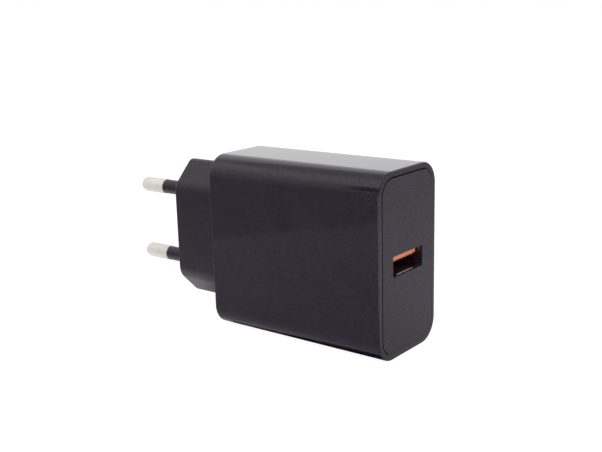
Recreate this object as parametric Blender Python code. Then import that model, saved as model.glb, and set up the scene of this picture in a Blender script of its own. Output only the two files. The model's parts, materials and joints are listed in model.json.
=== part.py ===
"""A USB wall charger for a two-pin socket, built as an assembly of separate parts.

Frame: the origin is the centre of the plug's engagement face, midway between the two pins.
+X points out of the wall, towards the USB port, +Z is up along the row of pins, and Y runs
across the charger's thickness. Lengths are in metres. Outlines are lists of (y, z) points,
counter-clockwise seen from +X.
"""

import math

import bmesh
import bpy
from mathutils import Matrix, Vector

MM = 0.001

# Casing
PLUG_DEPTH = 17.3 * MM
PLUG_WIDTH = 14.0 * MM
PLUG_HEIGHT = 35.8 * MM
PLUG_CHAMFER_Y = 6.1 * MM
PLUG_CHAMFER_Z = 6.1 * MM
PLUG_SIDE_RADIUS = 4.5 * MM
PLUG_END_RADIUS = 2.0 * MM
PLUG_WALL = 1.6 * MM
BODY_LENGTH = 48.8 * MM
BODY_WIDTH = 24.0 * MM
BODY_HEIGHT = 43.2 * MM
BODY_CORNER = 5.5 * MM
WALL = 1.8 * MM
BACK_WALL = 2.0 * MM
REAR_FILLET = 1.0 * MM
FRONT_FILLET = 0.6 * MM
RIM = 1.35 * MM
REBATE_DEPTH = 2.0 * MM
SEAM = 0.12 * MM
FIT = 0.2 * MM
FRONT_X = PLUG_DEPTH + BODY_LENGTH
CAVITY_BACK_X = PLUG_DEPTH + BACK_WALL
CAVITY_HALF_Y = BODY_WIDTH / 2 - WALL
CAVITY_HALF_Z = BODY_HEIGHT / 2 - WALL
CORNER_STEPS = 8
HOOK_Y = (-5.0 * MM, 2.0 * MM)
HOOK_WIDTH = 4.0 * MM
HOOK_REAR_X = FRONT_X - 6.0 * MM
HOOK_BARB = 1.2 * MM
RAIL_WIDTH = 0.9 * MM

# Pins
PIN_SPACING = 18.7 * MM
PIN_RADIUS = 2.0 * MM
PIN_LENGTH = 19.0 * MM
SLEEVE_RADIUS = 1.9 * MM
SLEEVE_LENGTH = 10.0 * MM
PIN_NECK_RADIUS = 1.45 * MM
PIN_INNER_END = 8.6 * MM
PIN_POST_END = 10.6 * MM
PIN_POST_RADIUS = 1.2 * MM
PIN_BOSS_RADIUS = 3.7 * MM
ROUND_STEPS = 24

# Circuit board, standing in the XZ plane, with its tall parts on the -Y side
BOARD_FACE_Y = 6.9 * MM
BOARD_THICKNESS = 1.6 * MM
BOARD_BACK_Y = BOARD_FACE_Y + BOARD_THICKNESS
BOARD_START_X = 22.0 * MM
BOARD_END_X = 63.0 * MM
BOARD_HALF_Z = 18.9 * MM
STANDOFF = 0.3 * MM
FILM_THICKNESS = 0.2 * MM
LEAD_RADIUS = 0.3 * MM
LEAD_END_Y = BOARD_BACK_Y + 0.9 * MM
LEAD_STEPS = 8

# Transformer, with its centre leg upright along Z
CORE_X = 41.5 * MM
CORE_Y = -0.8 * MM
CORE_WIDTH = 15.0 * MM
CORE_HALF = 8.0 * MM
CORE_DEPTH = 5.0 * MM
CORE_LEG = 2.4 * MM
CORE_CENTRE_LEG = 4.6 * MM
CORE_YOKE = 2.6 * MM
BOBBIN_HALF = CORE_HALF - CORE_YOKE - FIT
BOBBIN_WALL = 0.5 * MM
FLANGE_THICKNESS = 0.6 * MM

# Toroidal choke
CHOKE_X = 36.6 * MM
CHOKE_Z = 14.6 * MM
CHOKE_MIDDLE_Y = BOARD_FACE_Y - 5.9 * MM

# USB receptacle, with the wide side of its mouth along Y and its tongue above the middle
PORT_WIDTH = 12.4 * MM
PORT_HEIGHT = 4.8 * MM
PORT_LIP = 0.7 * MM
SHELL_SHEET = 0.3 * MM
SHELL_WIDTH = 13.1 * MM
SHELL_HEIGHT = 5.7 * MM
SHELL_LENGTH = 13.9 * MM
SHELL_MOUTH_X = FRONT_X - PORT_LIP - 0.1 * MM
SHELL_REAR_X = SHELL_MOUTH_X - SHELL_LENGTH
TONGUE_FRONT_X = FRONT_X - 1.5 * MM
TONGUE_LENGTH = 8.8 * MM
TONGUE_WIDTH = 11.1 * MM
TONGUE_THICKNESS = 1.84 * MM
TONGUE_TOP_Z = 1.9 * MM
TONGUE_UNDER_Z = TONGUE_TOP_Z - TONGUE_THICKNESS
TONGUE_ROOT_X = TONGUE_FRONT_X - TONGUE_LENGTH
TONGUE_NOSE_LENGTH = 0.8 * MM
TONGUE_NOSE_HEIGHT = 0.75 * MM
CONTACT_Y = (-3.5 * MM, -1.0 * MM, 1.0 * MM, 3.5 * MM)
CONTACT_WIDTH = 1.0 * MM
CONTACT_SHEET = 0.25 * MM
CONTACT_ROOT_Z = TONGUE_UNDER_Z + 0.4 * MM
GROOVE_WIDTH = 1.3 * MM
GROOVE_DEPTH = 0.95 * MM
SPRING_Y = 3.2 * MM
SPRING_WIDTH = 1.8 * MM
SPRING_ROOT_X = SHELL_MOUTH_X - 2.6 * MM
SPRING_LENGTH = 5.6 * MM
SPRING_GAP = 0.3 * MM


# ---------------------------------------------------------------- general tools


def clear_scene():
    for old in list(bpy.data.objects):
        bpy.data.objects.remove(old)


def material(name, colour, roughness, metallic=0.0):
    made = bpy.data.materials.new(name)
    made.use_nodes = True
    shader = made.node_tree.nodes["Principled BSDF"]
    shader.inputs["Base Color"].default_value = (*colour, 1.0)
    shader.inputs["Roughness"].default_value = roughness
    shader.inputs["Metallic"].default_value = metallic
    return made


def finish(name, bm, look, smooth_degrees=35):
    """Turns a bmesh into a scene object with outward faces and smooth round sides."""
    bmesh.ops.recalc_face_normals(bm, faces=bm.faces)
    mesh = bpy.data.meshes.new(name)
    bm.to_mesh(mesh)
    bm.free()
    mesh.materials.append(look)
    mesh.shade_smooth()
    mesh.set_sharp_from_angle(angle=math.radians(smooth_degrees))
    made = bpy.data.objects.new(name, mesh)
    bpy.context.scene.collection.objects.link(made)
    return made


def combine(target, operation, *tools):
    """Applies a Boolean of the target with each tool in turn, and removes the tools."""
    for tool in tools:
        modifier = target.modifiers.new(operation.title(), "BOOLEAN")
        modifier.operation = operation
        modifier.object = tool
        bpy.context.view_layer.update()
        graph = bpy.context.evaluated_depsgraph_get()
        shaped = bpy.data.meshes.new_from_object(target.evaluated_get(graph))
        target.modifiers.clear()
        target.data = shaped
        bpy.data.objects.remove(tool)
    return target


def box_bmesh(low, high, bevel=0.0):
    """A box between two corners, with its edges cut back by the bevel."""
    bm = bmesh.new()
    size = Vector(high) - Vector(low)
    centre = (Vector(high) + Vector(low)) / 2
    bmesh.ops.create_cube(bm, size=1.0, matrix=Matrix.Translation(centre) @ Matrix.Diagonal((*size, 1.0)))
    if bevel:
        bmesh.ops.bevel(bm, geom=bm.edges[:], offset=bevel, segments=1, affect="EDGES")
    return bm


def box(name, low, high, look, bevel=0.0):
    return finish(name, box_bmesh(low, high, bevel), look)


AXIS_TURN = {
    "X": Matrix.Identity(4),
    "Y": Matrix.Rotation(math.radians(90), 4, "Z"),
    "-Y": Matrix.Rotation(math.radians(-90), 4, "Z"),
}


def lathe(name, profile, place, look, axis="X", steps=ROUND_STEPS, closed=False):
    """Turns (distance along the axis, radius) points into a solid, or a closed loop of them into a ring."""
    bm = bmesh.new()
    turn = Matrix.Translation(place) @ AXIS_TURN[axis]
    angles = [math.tau * step / steps for step in range(steps)]
    rings = []
    for along, radius in profile:
        points = [Vector((along, radius * math.cos(angle), radius * math.sin(angle))) for angle in angles]
        rings.append([bm.verts.new(turn @ point) for point in points])
    skin(bm, rings, closed)
    return finish(name, bm, look)


def skin(bm, rings, closed):
    """Joins each ring of vertices to the next, and the last to the first if closed, or else caps the ends."""
    count = len(rings[0])
    pairs = list(zip(rings, rings[1:]))
    if closed:
        pairs.append((rings[-1], rings[0]))
    for lower, upper in pairs:
        for i in range(count):
            j = (i + 1) % count
            bm.faces.new((lower[i], lower[j], upper[j], upper[i]))
    if not closed:
        bm.faces.new(rings[0])
        bm.faces.new(rings[-1])


def loft(name, sections, look, closed=False):
    """A solid through (x, outline) sections that all have the same number of points."""
    bm = bmesh.new()
    rings = [[bm.verts.new((x, y, z)) for y, z in outline] for x, outline in sections]
    skin(bm, rings, closed)
    return finish(name, bm, look)


def prism(name, outline, thickness, middle_y, look):
    """An outline of (x, z) points, made thick along Y."""
    bm = bmesh.new()
    face = bm.faces.new([bm.verts.new((x, middle_y - thickness / 2, z)) for x, z in outline])
    grown = bmesh.ops.extrude_face_region(bm, geom=[face])["geom"]
    moved = [part for part in grown if isinstance(part, bmesh.types.BMVert)]
    bmesh.ops.translate(bm, verts=moved, vec=(0, thickness, 0))
    return finish(name, bm, look)


def sheet_outline(path, thickness):
    """The outline of a bent sheet whose middle line runs along the path."""
    sides = ([], [])
    for i, point in enumerate(path):
        before = path[max(i - 1, 0)]
        after = path[min(i + 1, len(path) - 1)]
        along = (Vector(after) - Vector(before)).normalized()
        across = Vector((-along.y, along.x)) * thickness / 2
        sides[0].append(Vector(point) + across)
        sides[1].append(Vector(point) - across)
    return sides[0] + sides[1][::-1]


def rounded_polygon(corners, radii, steps):
    """A convex outline with each corner replaced by an arc of that many points."""
    outline = []
    for i, (corner, radius) in enumerate(zip(corners, radii)):
        corner = Vector(corner)
        back = (Vector(corners[i - 1]) - corner).normalized()
        ahead = (Vector(corners[(i + 1) % len(corners)]) - corner).normalized()
        half = back.angle(ahead) / 2
        centre = corner + (back + ahead).normalized() * radius / math.sin(half)
        first = corner + back * radius / math.tan(half) - centre
        sweep = math.pi - 2 * half
        start = math.atan2(first.y, first.x)
        for step in range(steps):
            angle = start + sweep * step / (steps - 1)
            outline.append((centre.x + radius * math.cos(angle), centre.y + radius * math.sin(angle)))
    return outline


def rectangle(width, height, radius, steps=CORNER_STEPS):
    """A rounded rectangle outline, width along Y and height along Z, centred."""
    y, z = width / 2, height / 2
    return rounded_polygon([(y, z), (-y, z), (-y, -z), (y, -z)], [radius] * 4, steps)


# ---------------------------------------------------------------- casing


def body_outline(inset):
    width = BODY_WIDTH - 2 * inset
    height = BODY_HEIGHT - 2 * inset
    return rectangle(width, height, BODY_CORNER - inset)


def plug_outline(offset):
    """The plug block's eight-sided outline, moved outwards by the offset."""
    slope = math.hypot(PLUG_CHAMFER_Y, PLUG_CHAMFER_Z)
    normal_y, normal_z = PLUG_CHAMFER_Z / slope, PLUG_CHAMFER_Y / slope
    side_y = PLUG_WIDTH / 2 + offset
    top_z = PLUG_HEIGHT / 2 + offset
    side_z = PLUG_HEIGHT / 2 - PLUG_CHAMFER_Z + offset * (1 - normal_y) / normal_z
    top_y = PLUG_WIDTH / 2 - PLUG_CHAMFER_Y + offset * (1 - normal_z) / normal_y
    quarter = [(side_y, side_z), (top_y, top_z)]
    half = quarter + [(-y, z) for y, z in reversed(quarter)]
    corners = half + [(-y, -z) for y, z in half]
    side_radius, end_radius = PLUG_SIDE_RADIUS + offset, PLUG_END_RADIUS + offset
    radii = [side_radius, end_radius, end_radius, side_radius] * 2
    return rounded_polygon(corners, radii, CORNER_STEPS // 2)


def fillet_sections(x, turn_x, outline, radius, steps=3):
    """Sections round a convex edge, from the end face at x to the full outline at x + turn_x * radius."""
    sections = []
    for step in range(steps + 1):
        angle = math.radians(90) * step / steps
        inset = radius * (1 - math.sin(angle))
        sections.append((x + turn_x * radius * (1 - math.cos(angle)), outline(inset)))
    return sections


def housing(look):
    """The glossy sleeve: closed at the back round the plug block, open at the front for the panel."""
    ledge_x = FRONT_X - REBATE_DEPTH
    aperture = plug_outline(FIT)
    sections = [(PLUG_DEPTH, aperture)]
    sections += fillet_sections(PLUG_DEPTH, 1, body_outline, REAR_FILLET)
    sections += reversed(fillet_sections(FRONT_X, -1, body_outline, FRONT_FILLET))
    sections += [
        (FRONT_X, body_outline(RIM)),
        (ledge_x, body_outline(RIM)),
        (ledge_x, body_outline(WALL)),
        (CAVITY_BACK_X, body_outline(WALL)),
        (CAVITY_BACK_X, aperture),
    ]
    made = loft("housing", sections, look, closed=True)
    for side in (-1, 1):
        for rail_y in (BOARD_FACE_Y - FIT - RAIL_WIDTH, BOARD_BACK_Y + FIT):
            low_z, high_z = sorted((side * (CAVITY_HALF_Z + 0.4 * MM), side * (BOARD_HALF_Z - 0.4 * MM)))
            rail = box("rail", (24 * MM, rail_y, low_z), (58 * MM, rail_y + RAIL_WIDTH, high_z), look)
            combine(made, "UNION", rail)
        for hook_y in HOOK_Y:
            combine(made, "DIFFERENCE", hook_pocket(side, hook_y, look))
    return made


def hook_pocket(side, hook_y, look):
    """The recess in the housing's top or bottom wall that a panel hook snaps into."""
    half = HOOK_WIDTH / 2 + FIT
    inner, outer = sorted((side * (CAVITY_HALF_Z - 1.0 * MM), side * (CAVITY_HALF_Z + 0.75 * MM)))
    low = (HOOK_REAR_X - FIT, hook_y - half, inner)
    high = (HOOK_REAR_X + HOOK_BARB + FIT, hook_y + half, outer)
    return box("pocket", low, high, look)


def front_panel(look):
    """The flat panel with the USB opening, snapped into the front of the housing."""

    def edge(inset):
        return body_outline(RIM + SEAM + inset)

    rear_x = FRONT_X - REBATE_DEPTH + SEAM
    lip_x = FRONT_X - PORT_LIP
    pocket = rectangle(SHELL_WIDTH + 2 * FIT, SHELL_HEIGHT + 2 * FIT, 0.5 * MM)
    mouth = rectangle(PORT_WIDTH, PORT_HEIGHT, 0.35 * MM)
    mouth_edge = rectangle(PORT_WIDTH + 0.4 * MM, PORT_HEIGHT + 0.4 * MM, 0.55 * MM)
    sections = [(lip_x, mouth), (FRONT_X - 0.2 * MM, mouth), (FRONT_X, mouth_edge)]
    sections += [(FRONT_X, edge(0.1 * MM)), (FRONT_X - 0.1 * MM, edge(0)), (rear_x, edge(0))]
    sections += [(rear_x, pocket), (lip_x, pocket)]
    made = loft("front_panel", sections, look, closed=True)
    for side in (-1, 1):
        for hook_y in HOOK_Y:
            combine(made, "UNION", snap_hook(side, hook_y, rear_x, look))
    return made


def snap_hook(side, hook_y, rear_x, look):
    """A flat arm with a ramped barb at its end, reaching back from the panel."""
    outer = CAVITY_HALF_Z - FIT
    inner = outer - 1.1 * MM
    barb = CAVITY_HALF_Z + 0.45 * MM
    points = [
        (rear_x + 0.5 * MM, inner),
        (rear_x + 0.5 * MM, outer),
        (HOOK_REAR_X + HOOK_BARB, outer),
        (HOOK_REAR_X + HOOK_BARB, barb),
        (HOOK_REAR_X, outer - 0.2 * MM),
        (HOOK_REAR_X, inner),
    ]
    outline = [(x, side * z) for x, z in points]
    return prism("hook", outline, HOOK_WIDTH, hook_y, look)


def plug_base(look):
    """The plug block, hollow from inside the charger, with a flange held behind the back wall."""
    face_wall = 2.5 * MM
    flange_x = CAVITY_BACK_X + FIT
    flange_end_x = flange_x + 1.3 * MM
    flange = plug_outline(1.6 * MM)
    cavity = plug_outline(-PLUG_WALL)
    sections = fillet_sections(0, 1, lambda inset: plug_outline(-inset), 0.6 * MM)
    sections += [
        (flange_x, plug_outline(0)),
        (flange_x, flange),
        (flange_end_x, flange),
        (flange_end_x, cavity),
        (face_wall, cavity),
    ]
    made = loft("plug_base", sections, look)
    for side in (-1, 1):
        centre = (0, 0, side * PIN_SPACING / 2)
        boss = [(face_wall - 0.5 * MM, PIN_BOSS_RADIUS), (PIN_INNER_END - FIT, PIN_BOSS_RADIUS)]
        combine(made, "UNION", lathe("boss", boss, centre, look))
        bore = [(-1 * MM, PIN_RADIUS + FIT / 2), (PIN_INNER_END + 1 * MM, PIN_RADIUS + FIT / 2)]
        combine(made, "DIFFERENCE", lathe("bore", bore, centre, look))
    return made


# ---------------------------------------------------------------- pins and wires


def pin(name, side, look):
    """A round pin with a domed tip, a neck under its sleeve, retaining grooves and a solder post."""
    profile = []
    for step in range(5):
        angle = math.radians(15 + 75 * step / 4)
        profile.append((-PIN_LENGTH + PIN_RADIUS * (1 - math.cos(angle)), PIN_RADIUS * math.sin(angle)))
    profile += [(-SLEEVE_LENGTH, PIN_RADIUS), (-SLEEVE_LENGTH, PIN_NECK_RADIUS)]
    profile += [(1.3 * MM, PIN_NECK_RADIUS), (1.3 * MM, PIN_RADIUS)]
    for groove_x in (3.0 * MM, 5.5 * MM):
        profile += [(groove_x, PIN_RADIUS), (groove_x + 0.3 * MM, PIN_RADIUS - 0.35 * MM)]
        profile += [(groove_x + 1.0 * MM, PIN_RADIUS - 0.35 * MM), (groove_x + 1.3 * MM, PIN_RADIUS)]
    profile += [(PIN_INNER_END, PIN_RADIUS), (PIN_INNER_END, PIN_POST_RADIUS)]
    profile += [(PIN_POST_END, PIN_POST_RADIUS)]
    return lathe(name, profile, (0, 0, side * PIN_SPACING / 2), look)


def pin_sleeve(name, side, look):
    """The insulating sleeve round the root of a pin."""
    start, end = -SLEEVE_LENGTH + 0.05 * MM, 1.2 * MM
    inner = PIN_NECK_RADIUS + 0.08 * MM
    chamfer = 0.15 * MM
    loop = [(start, inner), (start, SLEEVE_RADIUS - chamfer), (start + chamfer, SLEEVE_RADIUS)]
    loop += [(end, SLEEVE_RADIUS), (end, inner)]
    return lathe(name, loop, (0, 0, side * PIN_SPACING / 2), look, closed=True)


def wire(name, side, pad, look):
    """An insulated wire from a pin's solder post, round to its pad on the board's face."""
    start = Vector((PIN_POST_END + FIT, 0, side * PIN_SPACING / 2))
    end = Vector((pad[0], BOARD_FACE_Y - FIT, pad[1]))
    curve = bpy.data.curves.new(name, "CURVE")
    curve.dimensions = "3D"
    curve.bevel_depth = 0.75 * MM
    curve.bevel_resolution = 1
    curve.resolution_u = 6
    curve.use_fill_caps = True
    spline = curve.splines.new("BEZIER")
    spline.bezier_points.add(1)
    for point, place, reach in zip(spline.bezier_points, (start, end), ((6, 0, 0), (0, 5, 0))):
        point.co = place
        point.handle_left = place - Vector(reach) * MM
        point.handle_right = place + Vector(reach) * MM
    curve.materials.append(look)
    made = bpy.data.objects.new(name, curve)
    bpy.context.scene.collection.objects.link(made)
    return made


# ---------------------------------------------------------------- board and its parts


def add_leads(made, places, holes, look, from_y, radius=LEAD_RADIUS):
    """Round leads through the board at each (x, z), starting inside the part, and notes their holes."""
    for x, z in places:
        profile = [(from_y, radius), (LEAD_END_Y, radius)]
        combine(made, "UNION", lathe("lead", profile, (x, 0, z), look, axis="Y", steps=LEAD_STEPS))
        holes.append((x, z, radius + 0.15 * MM))
    return made


def can(name, x, z, radius, height, look, holes):
    """A round capacitor can standing on the board, with a crimp near its foot and a recessed top."""
    rim = 0.5 * MM
    profile = [
        (0, radius - rim),
        (0.4 * MM, radius),
        (1.6 * MM, radius),
        (2.0 * MM, radius - 0.35 * MM),
        (2.5 * MM, radius - 0.35 * MM),
        (2.9 * MM, radius),
        (height - rim, radius),
        (height, radius - rim),
        (height, radius - 2 * rim),
        (height - 0.3 * MM, radius - 2.4 * rim),
    ]
    foot_y = BOARD_FACE_Y - STANDOFF
    made = lathe(name, profile, (x, foot_y, z), look, axis="-Y")
    pitch = radius * 0.5
    return add_leads(made, [(x, z - pitch), (x, z + pitch)], holes, look, foot_y - 1 * MM)


def block(name, centre, size, look, holes, leads, bevel=0.3 * MM, radius=LEAD_RADIUS):
    """A moulded box on the board at centre (x, z), of size (x, height, z), with leads at (x, z) offsets."""
    x, z = centre
    foot_y = BOARD_FACE_Y - STANDOFF
    low = (x - size[0] / 2, foot_y - size[1], z - size[2] / 2)
    high = (x + size[0] / 2, foot_y, z + size[2] / 2)
    made = box(name, low, high, look, bevel)
    places = [(x + dx, z + dz) for dx, dz in leads]
    return add_leads(made, places, holes, look, foot_y - 0.8 * MM, radius)


def disc(name, centre, radius, thickness, look, holes):
    """A coated disc standing on edge, facing along X, on two leads."""
    x, z = centre
    height = BOARD_FACE_Y - 1.5 * MM - radius
    half = thickness / 2
    edge = thickness * 0.3
    profile = [(-half, radius - edge), (edge - half, radius), (half - edge, radius), (half, radius - edge)]
    made = lathe(name, profile, (x, height, z), look)
    pitch = radius * 0.6
    return add_leads(made, [(x, z - pitch), (x, z + pitch)], holes, look, height + radius * 0.5)


def drum(name, centre, radius, height, look, holes):
    """A bobbin-shaped choke: two flanges with the coil between them, standing on two leads."""
    x, z = centre
    foot_y = BOARD_FACE_Y - STANDOFF
    coil = radius - 0.5 * MM
    profile = [(0, radius), (1.2 * MM, radius), (1.2 * MM, coil), (height - 1.2 * MM, coil)]
    profile += [(height - 1.2 * MM, radius), (height, radius)]
    made = lathe(name, profile, (x, foot_y, z), look, axis="-Y", steps=16)
    pitch = radius * 0.5
    return add_leads(made, [(x, z - pitch), (x, z + pitch)], holes, look, foot_y - 0.8 * MM)


def surface_chip(name, centre, size, look):
    """A surface-mount package with a row of feet on each side, on the board's solder side."""
    x, z = centre
    rest_y = BOARD_BACK_Y + 0.12 * MM
    low = (x - size[0] / 2, rest_y, z - size[2] / 2)
    high = (x + size[0] / 2, rest_y + size[1], z + size[2] / 2)
    made = box(name, low, high, look, 0.1 * MM)
    for row in (-1, 1):
        for step in (-1.5, -0.5, 0.5, 1.5):
            foot_x = x + row * (size[0] / 2 + 0.3 * MM)
            foot_z = z + step * size[2] / 4
            foot_low = (foot_x - 0.5 * MM, rest_y, foot_z - 0.2 * MM)
            foot_high = (foot_x + 0.5 * MM, rest_y + 0.35 * MM, foot_z + 0.2 * MM)
            combine(made, "UNION", box("foot", foot_low, foot_high, look))
    return made


def transformer_core(name, side, look):
    """One E-shaped ferrite half, its three legs meeting the other half's at the middle."""
    outer, leg = CORE_WIDTH / 2, CORE_WIDTH / 2 - CORE_LEG
    mid = CORE_CENTRE_LEG / 2
    near, yoke, far = FIT / 2, CORE_HALF - CORE_YOKE, CORE_HALF
    points = [(-outer, far), (-outer, near), (-leg, near), (-leg, yoke), (-mid, yoke), (-mid, near)]
    points += [(-x, z) for x, z in reversed(points)]
    outline = [(CORE_X + x, side * z) for x, z in points]
    return prism(name, outline, CORE_DEPTH, CORE_Y, look)


def ring_sections(x_half, y_half, hole_x, hole_y, low_z, high_z):
    """The four (z, outline) sections of a rectangular ring round the transformer's centre leg."""
    outer = [(x_half, y_half), (-x_half, y_half), (-x_half, -y_half), (x_half, -y_half)]
    inner = [(hole_x, hole_y), (-hole_x, hole_y), (-hole_x, -hole_y), (hole_x, -hole_y)]
    return [(low_z, outer), (high_z, outer), (high_z, inner), (low_z, inner)]


def rectangular_ring(name, sections, look):
    """A closed ring through four (z, outline) sections, placed on the transformer's centre leg."""
    bm = bmesh.new()
    rings = [[bm.verts.new((CORE_X + x, CORE_Y + y, z)) for x, y in outline] for z, outline in sections]
    skin(bm, rings, closed=True)
    return finish(name, bm, look)


def transformer_bobbin(look, holes):
    """The spool round the centre leg: a square tube with two flanges and two rows of terminal pins."""
    hole_x, hole_y = CORE_CENTRE_LEG / 2 + FIT, CORE_DEPTH / 2 + FIT
    tube_x, tube_y = hole_x + BOBBIN_WALL, hole_y + BOBBIN_WALL
    flange_x, flange_y = CORE_WIDTH / 2 - CORE_LEG - FIT, CORE_DEPTH / 2 + 3.3 * MM
    sections = ring_sections(tube_x, tube_y, hole_x, hole_y, -BOBBIN_HALF, BOBBIN_HALF)
    made = rectangular_ring("transformer_bobbin", sections, look)
    for side in (-1, 1):
        low, high = sorted((side * BOBBIN_HALF, side * (BOBBIN_HALF - FLANGE_THICKNESS)))
        flange = ring_sections(flange_x, flange_y, hole_x, hole_y, low, high)
        combine(made, "UNION", rectangular_ring("flange", flange, look))
        near, far = sorted((side * (BOBBIN_HALF - FLANGE_THICKNESS), side * (CORE_HALF + 1.5 * MM)))
        shelf_low = (CORE_X - flange_x, CORE_Y + CORE_DEPTH / 2 + 1.8 * MM, near)
        shelf_high = (CORE_X + flange_x, BOARD_FACE_Y - STANDOFF, far)
        combine(made, "UNION", box("shelf", shelf_low, shelf_high, look))
        pins = [(CORE_X + dx, side * (CORE_HALF + 0.7 * MM)) for dx in (-3.5 * MM, 0, 3.5 * MM)]
        add_leads(made, pins, holes, look, BOARD_FACE_Y - 1.5 * MM)
    return made


def transformer_winding(look):
    """The taped coil between the bobbin's flanges."""
    hole_x = CORE_CENTRE_LEG / 2 + BOBBIN_WALL + 2 * FIT
    hole_y = CORE_DEPTH / 2 + BOBBIN_WALL + 2 * FIT
    outer_x, outer_y = CORE_WIDTH / 2 - CORE_LEG - 2 * FIT, CORE_DEPTH / 2 + 2.6 * MM
    half = BOBBIN_HALF - FLANGE_THICKNESS - FIT
    sections = ring_sections(outer_x, outer_y, hole_x, hole_y, -half, half)
    return rectangular_ring("transformer_winding", sections, look)


def choke_core(look):
    """A toroid standing on edge, facing along X."""
    outer, inner, half = 3.9 * MM, 2.3 * MM, 1.6 * MM
    loop = [(-half, inner), (-half, outer), (half, outer), (half, inner)]
    return lathe("choke_core", loop, (CHOKE_X, CHOKE_MIDDLE_Y, CHOKE_Z), look, steps=16, closed=True)


def choke_winding(name, side, look, holes):
    """Half of the choke's coil: an arc-shaped sleeve of turns round the toroid, with two leads."""
    outer, inner, half = 4.7 * MM, 1.4 * MM, 2.4 * MM
    gap_outer, gap_inner, gap_half = 4.1 * MM, 2.1 * MM, 1.8 * MM
    loop = [(-half, inner), (-half, outer), (half, outer), (half, inner)]
    hollow = [(-gap_half, gap_inner), (-gap_half, gap_outer), (gap_half, gap_outer), (gap_half, gap_inner)]
    bm = bmesh.new()
    steps = 6
    for profile in (loop, hollow):
        for step in range(steps + 1):
            angle = math.radians(-60 + 120 * step / steps)
            for along, radius in profile:
                y = CHOKE_MIDDLE_Y + radius * math.sin(angle)
                bm.verts.new((CHOKE_X + along, y, CHOKE_Z + side * radius * math.cos(angle)))
    bm.verts.ensure_lookup_table()
    count = 4 * (steps + 1)
    for start in (0, count):
        for step in range(steps):
            for i in range(4):
                j = (i + 1) % 4
                a = start + 4 * step
                bm.faces.new([bm.verts[k] for k in (a + i, a + j, a + 4 + j, a + 4 + i)])
    for end in (0, 4 * steps):
        for i in range(4):
            j = (i + 1) % 4
            bm.faces.new([bm.verts[k] for k in (end + i, end + j, count + end + j, count + end + i)])
    made = finish(name, bm, look)
    places = [(CHOKE_X + dx, CHOKE_Z + side * 3.3 * MM) for dx in (-2.0 * MM, 2.0 * MM)]
    return add_leads(made, places, holes, look, CHOKE_MIDDLE_Y + 2.6 * MM)


def heat_sink(look):
    """A bent aluminium plate standing round the switching transistor."""
    path = [(42.0 * MM, 17.9 * MM), (49.2 * MM, 17.9 * MM), (49.2 * MM, 12.0 * MM)]
    height = 14.6 * MM
    middle_y = BOARD_FACE_Y - STANDOFF - height / 2
    return prism("heat_sink", sheet_outline(path, 1.0 * MM), height, middle_y, look)


def circuit_board(look, holes, slots):
    """The glass-fibre board, drilled for every lead and slotted for the receptacle's legs."""
    outline = bpy.data.curves.new("circuit_board", "CURVE")
    outline.dimensions = "2D"
    outline.fill_mode = "BOTH"
    outline.extrude = BOARD_THICKNESS / 2
    middle_x = (BOARD_START_X + BOARD_END_X) / 2
    add_loop(outline, rectangle_loop(middle_x, 0, BOARD_END_X - BOARD_START_X, 2 * BOARD_HALF_Z))
    for x, z, radius in holes:
        angles = [math.tau * step / LEAD_STEPS for step in range(LEAD_STEPS)]
        add_loop(outline, [(x + radius * math.cos(angle), z + radius * math.sin(angle)) for angle in angles])
    for (x, z), (size_x, size_z) in slots:
        add_loop(outline, rectangle_loop(x, z, size_x, size_z))
    outline.materials.append(look)
    made = bpy.data.objects.new("circuit_board", outline)
    bpy.context.scene.collection.objects.link(made)
    made.rotation_euler.x = math.radians(90)
    made.location.y = BOARD_FACE_Y + BOARD_THICKNESS / 2
    return made


def rectangle_loop(x, z, size_x, size_z):
    return [(x + dx * size_x / 2, z + dz * size_z / 2) for dx, dz in ((-1, -1), (1, -1), (1, 1), (-1, 1))]


def add_loop(curve, points):
    """Adds a closed loop of straight sides to a flat curve."""
    spline = curve.splines.new("POLY")
    spline.points.add(len(points) - 1)
    for point, (x, z) in zip(spline.points, points):
        point.co = (x, z, 0, 1)
    spline.use_cyclic_u = True


def insulating_film(look):
    """A sheet between the board's solder side and the housing's wall."""
    near_y = BOARD_BACK_Y + 1.2 * MM
    half_z = BOARD_HALF_Z - 1.7 * MM
    box("insulating_film", (24 * MM, near_y, -half_z), (62 * MM, near_y + FILM_THICKNESS, half_z), look)


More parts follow.
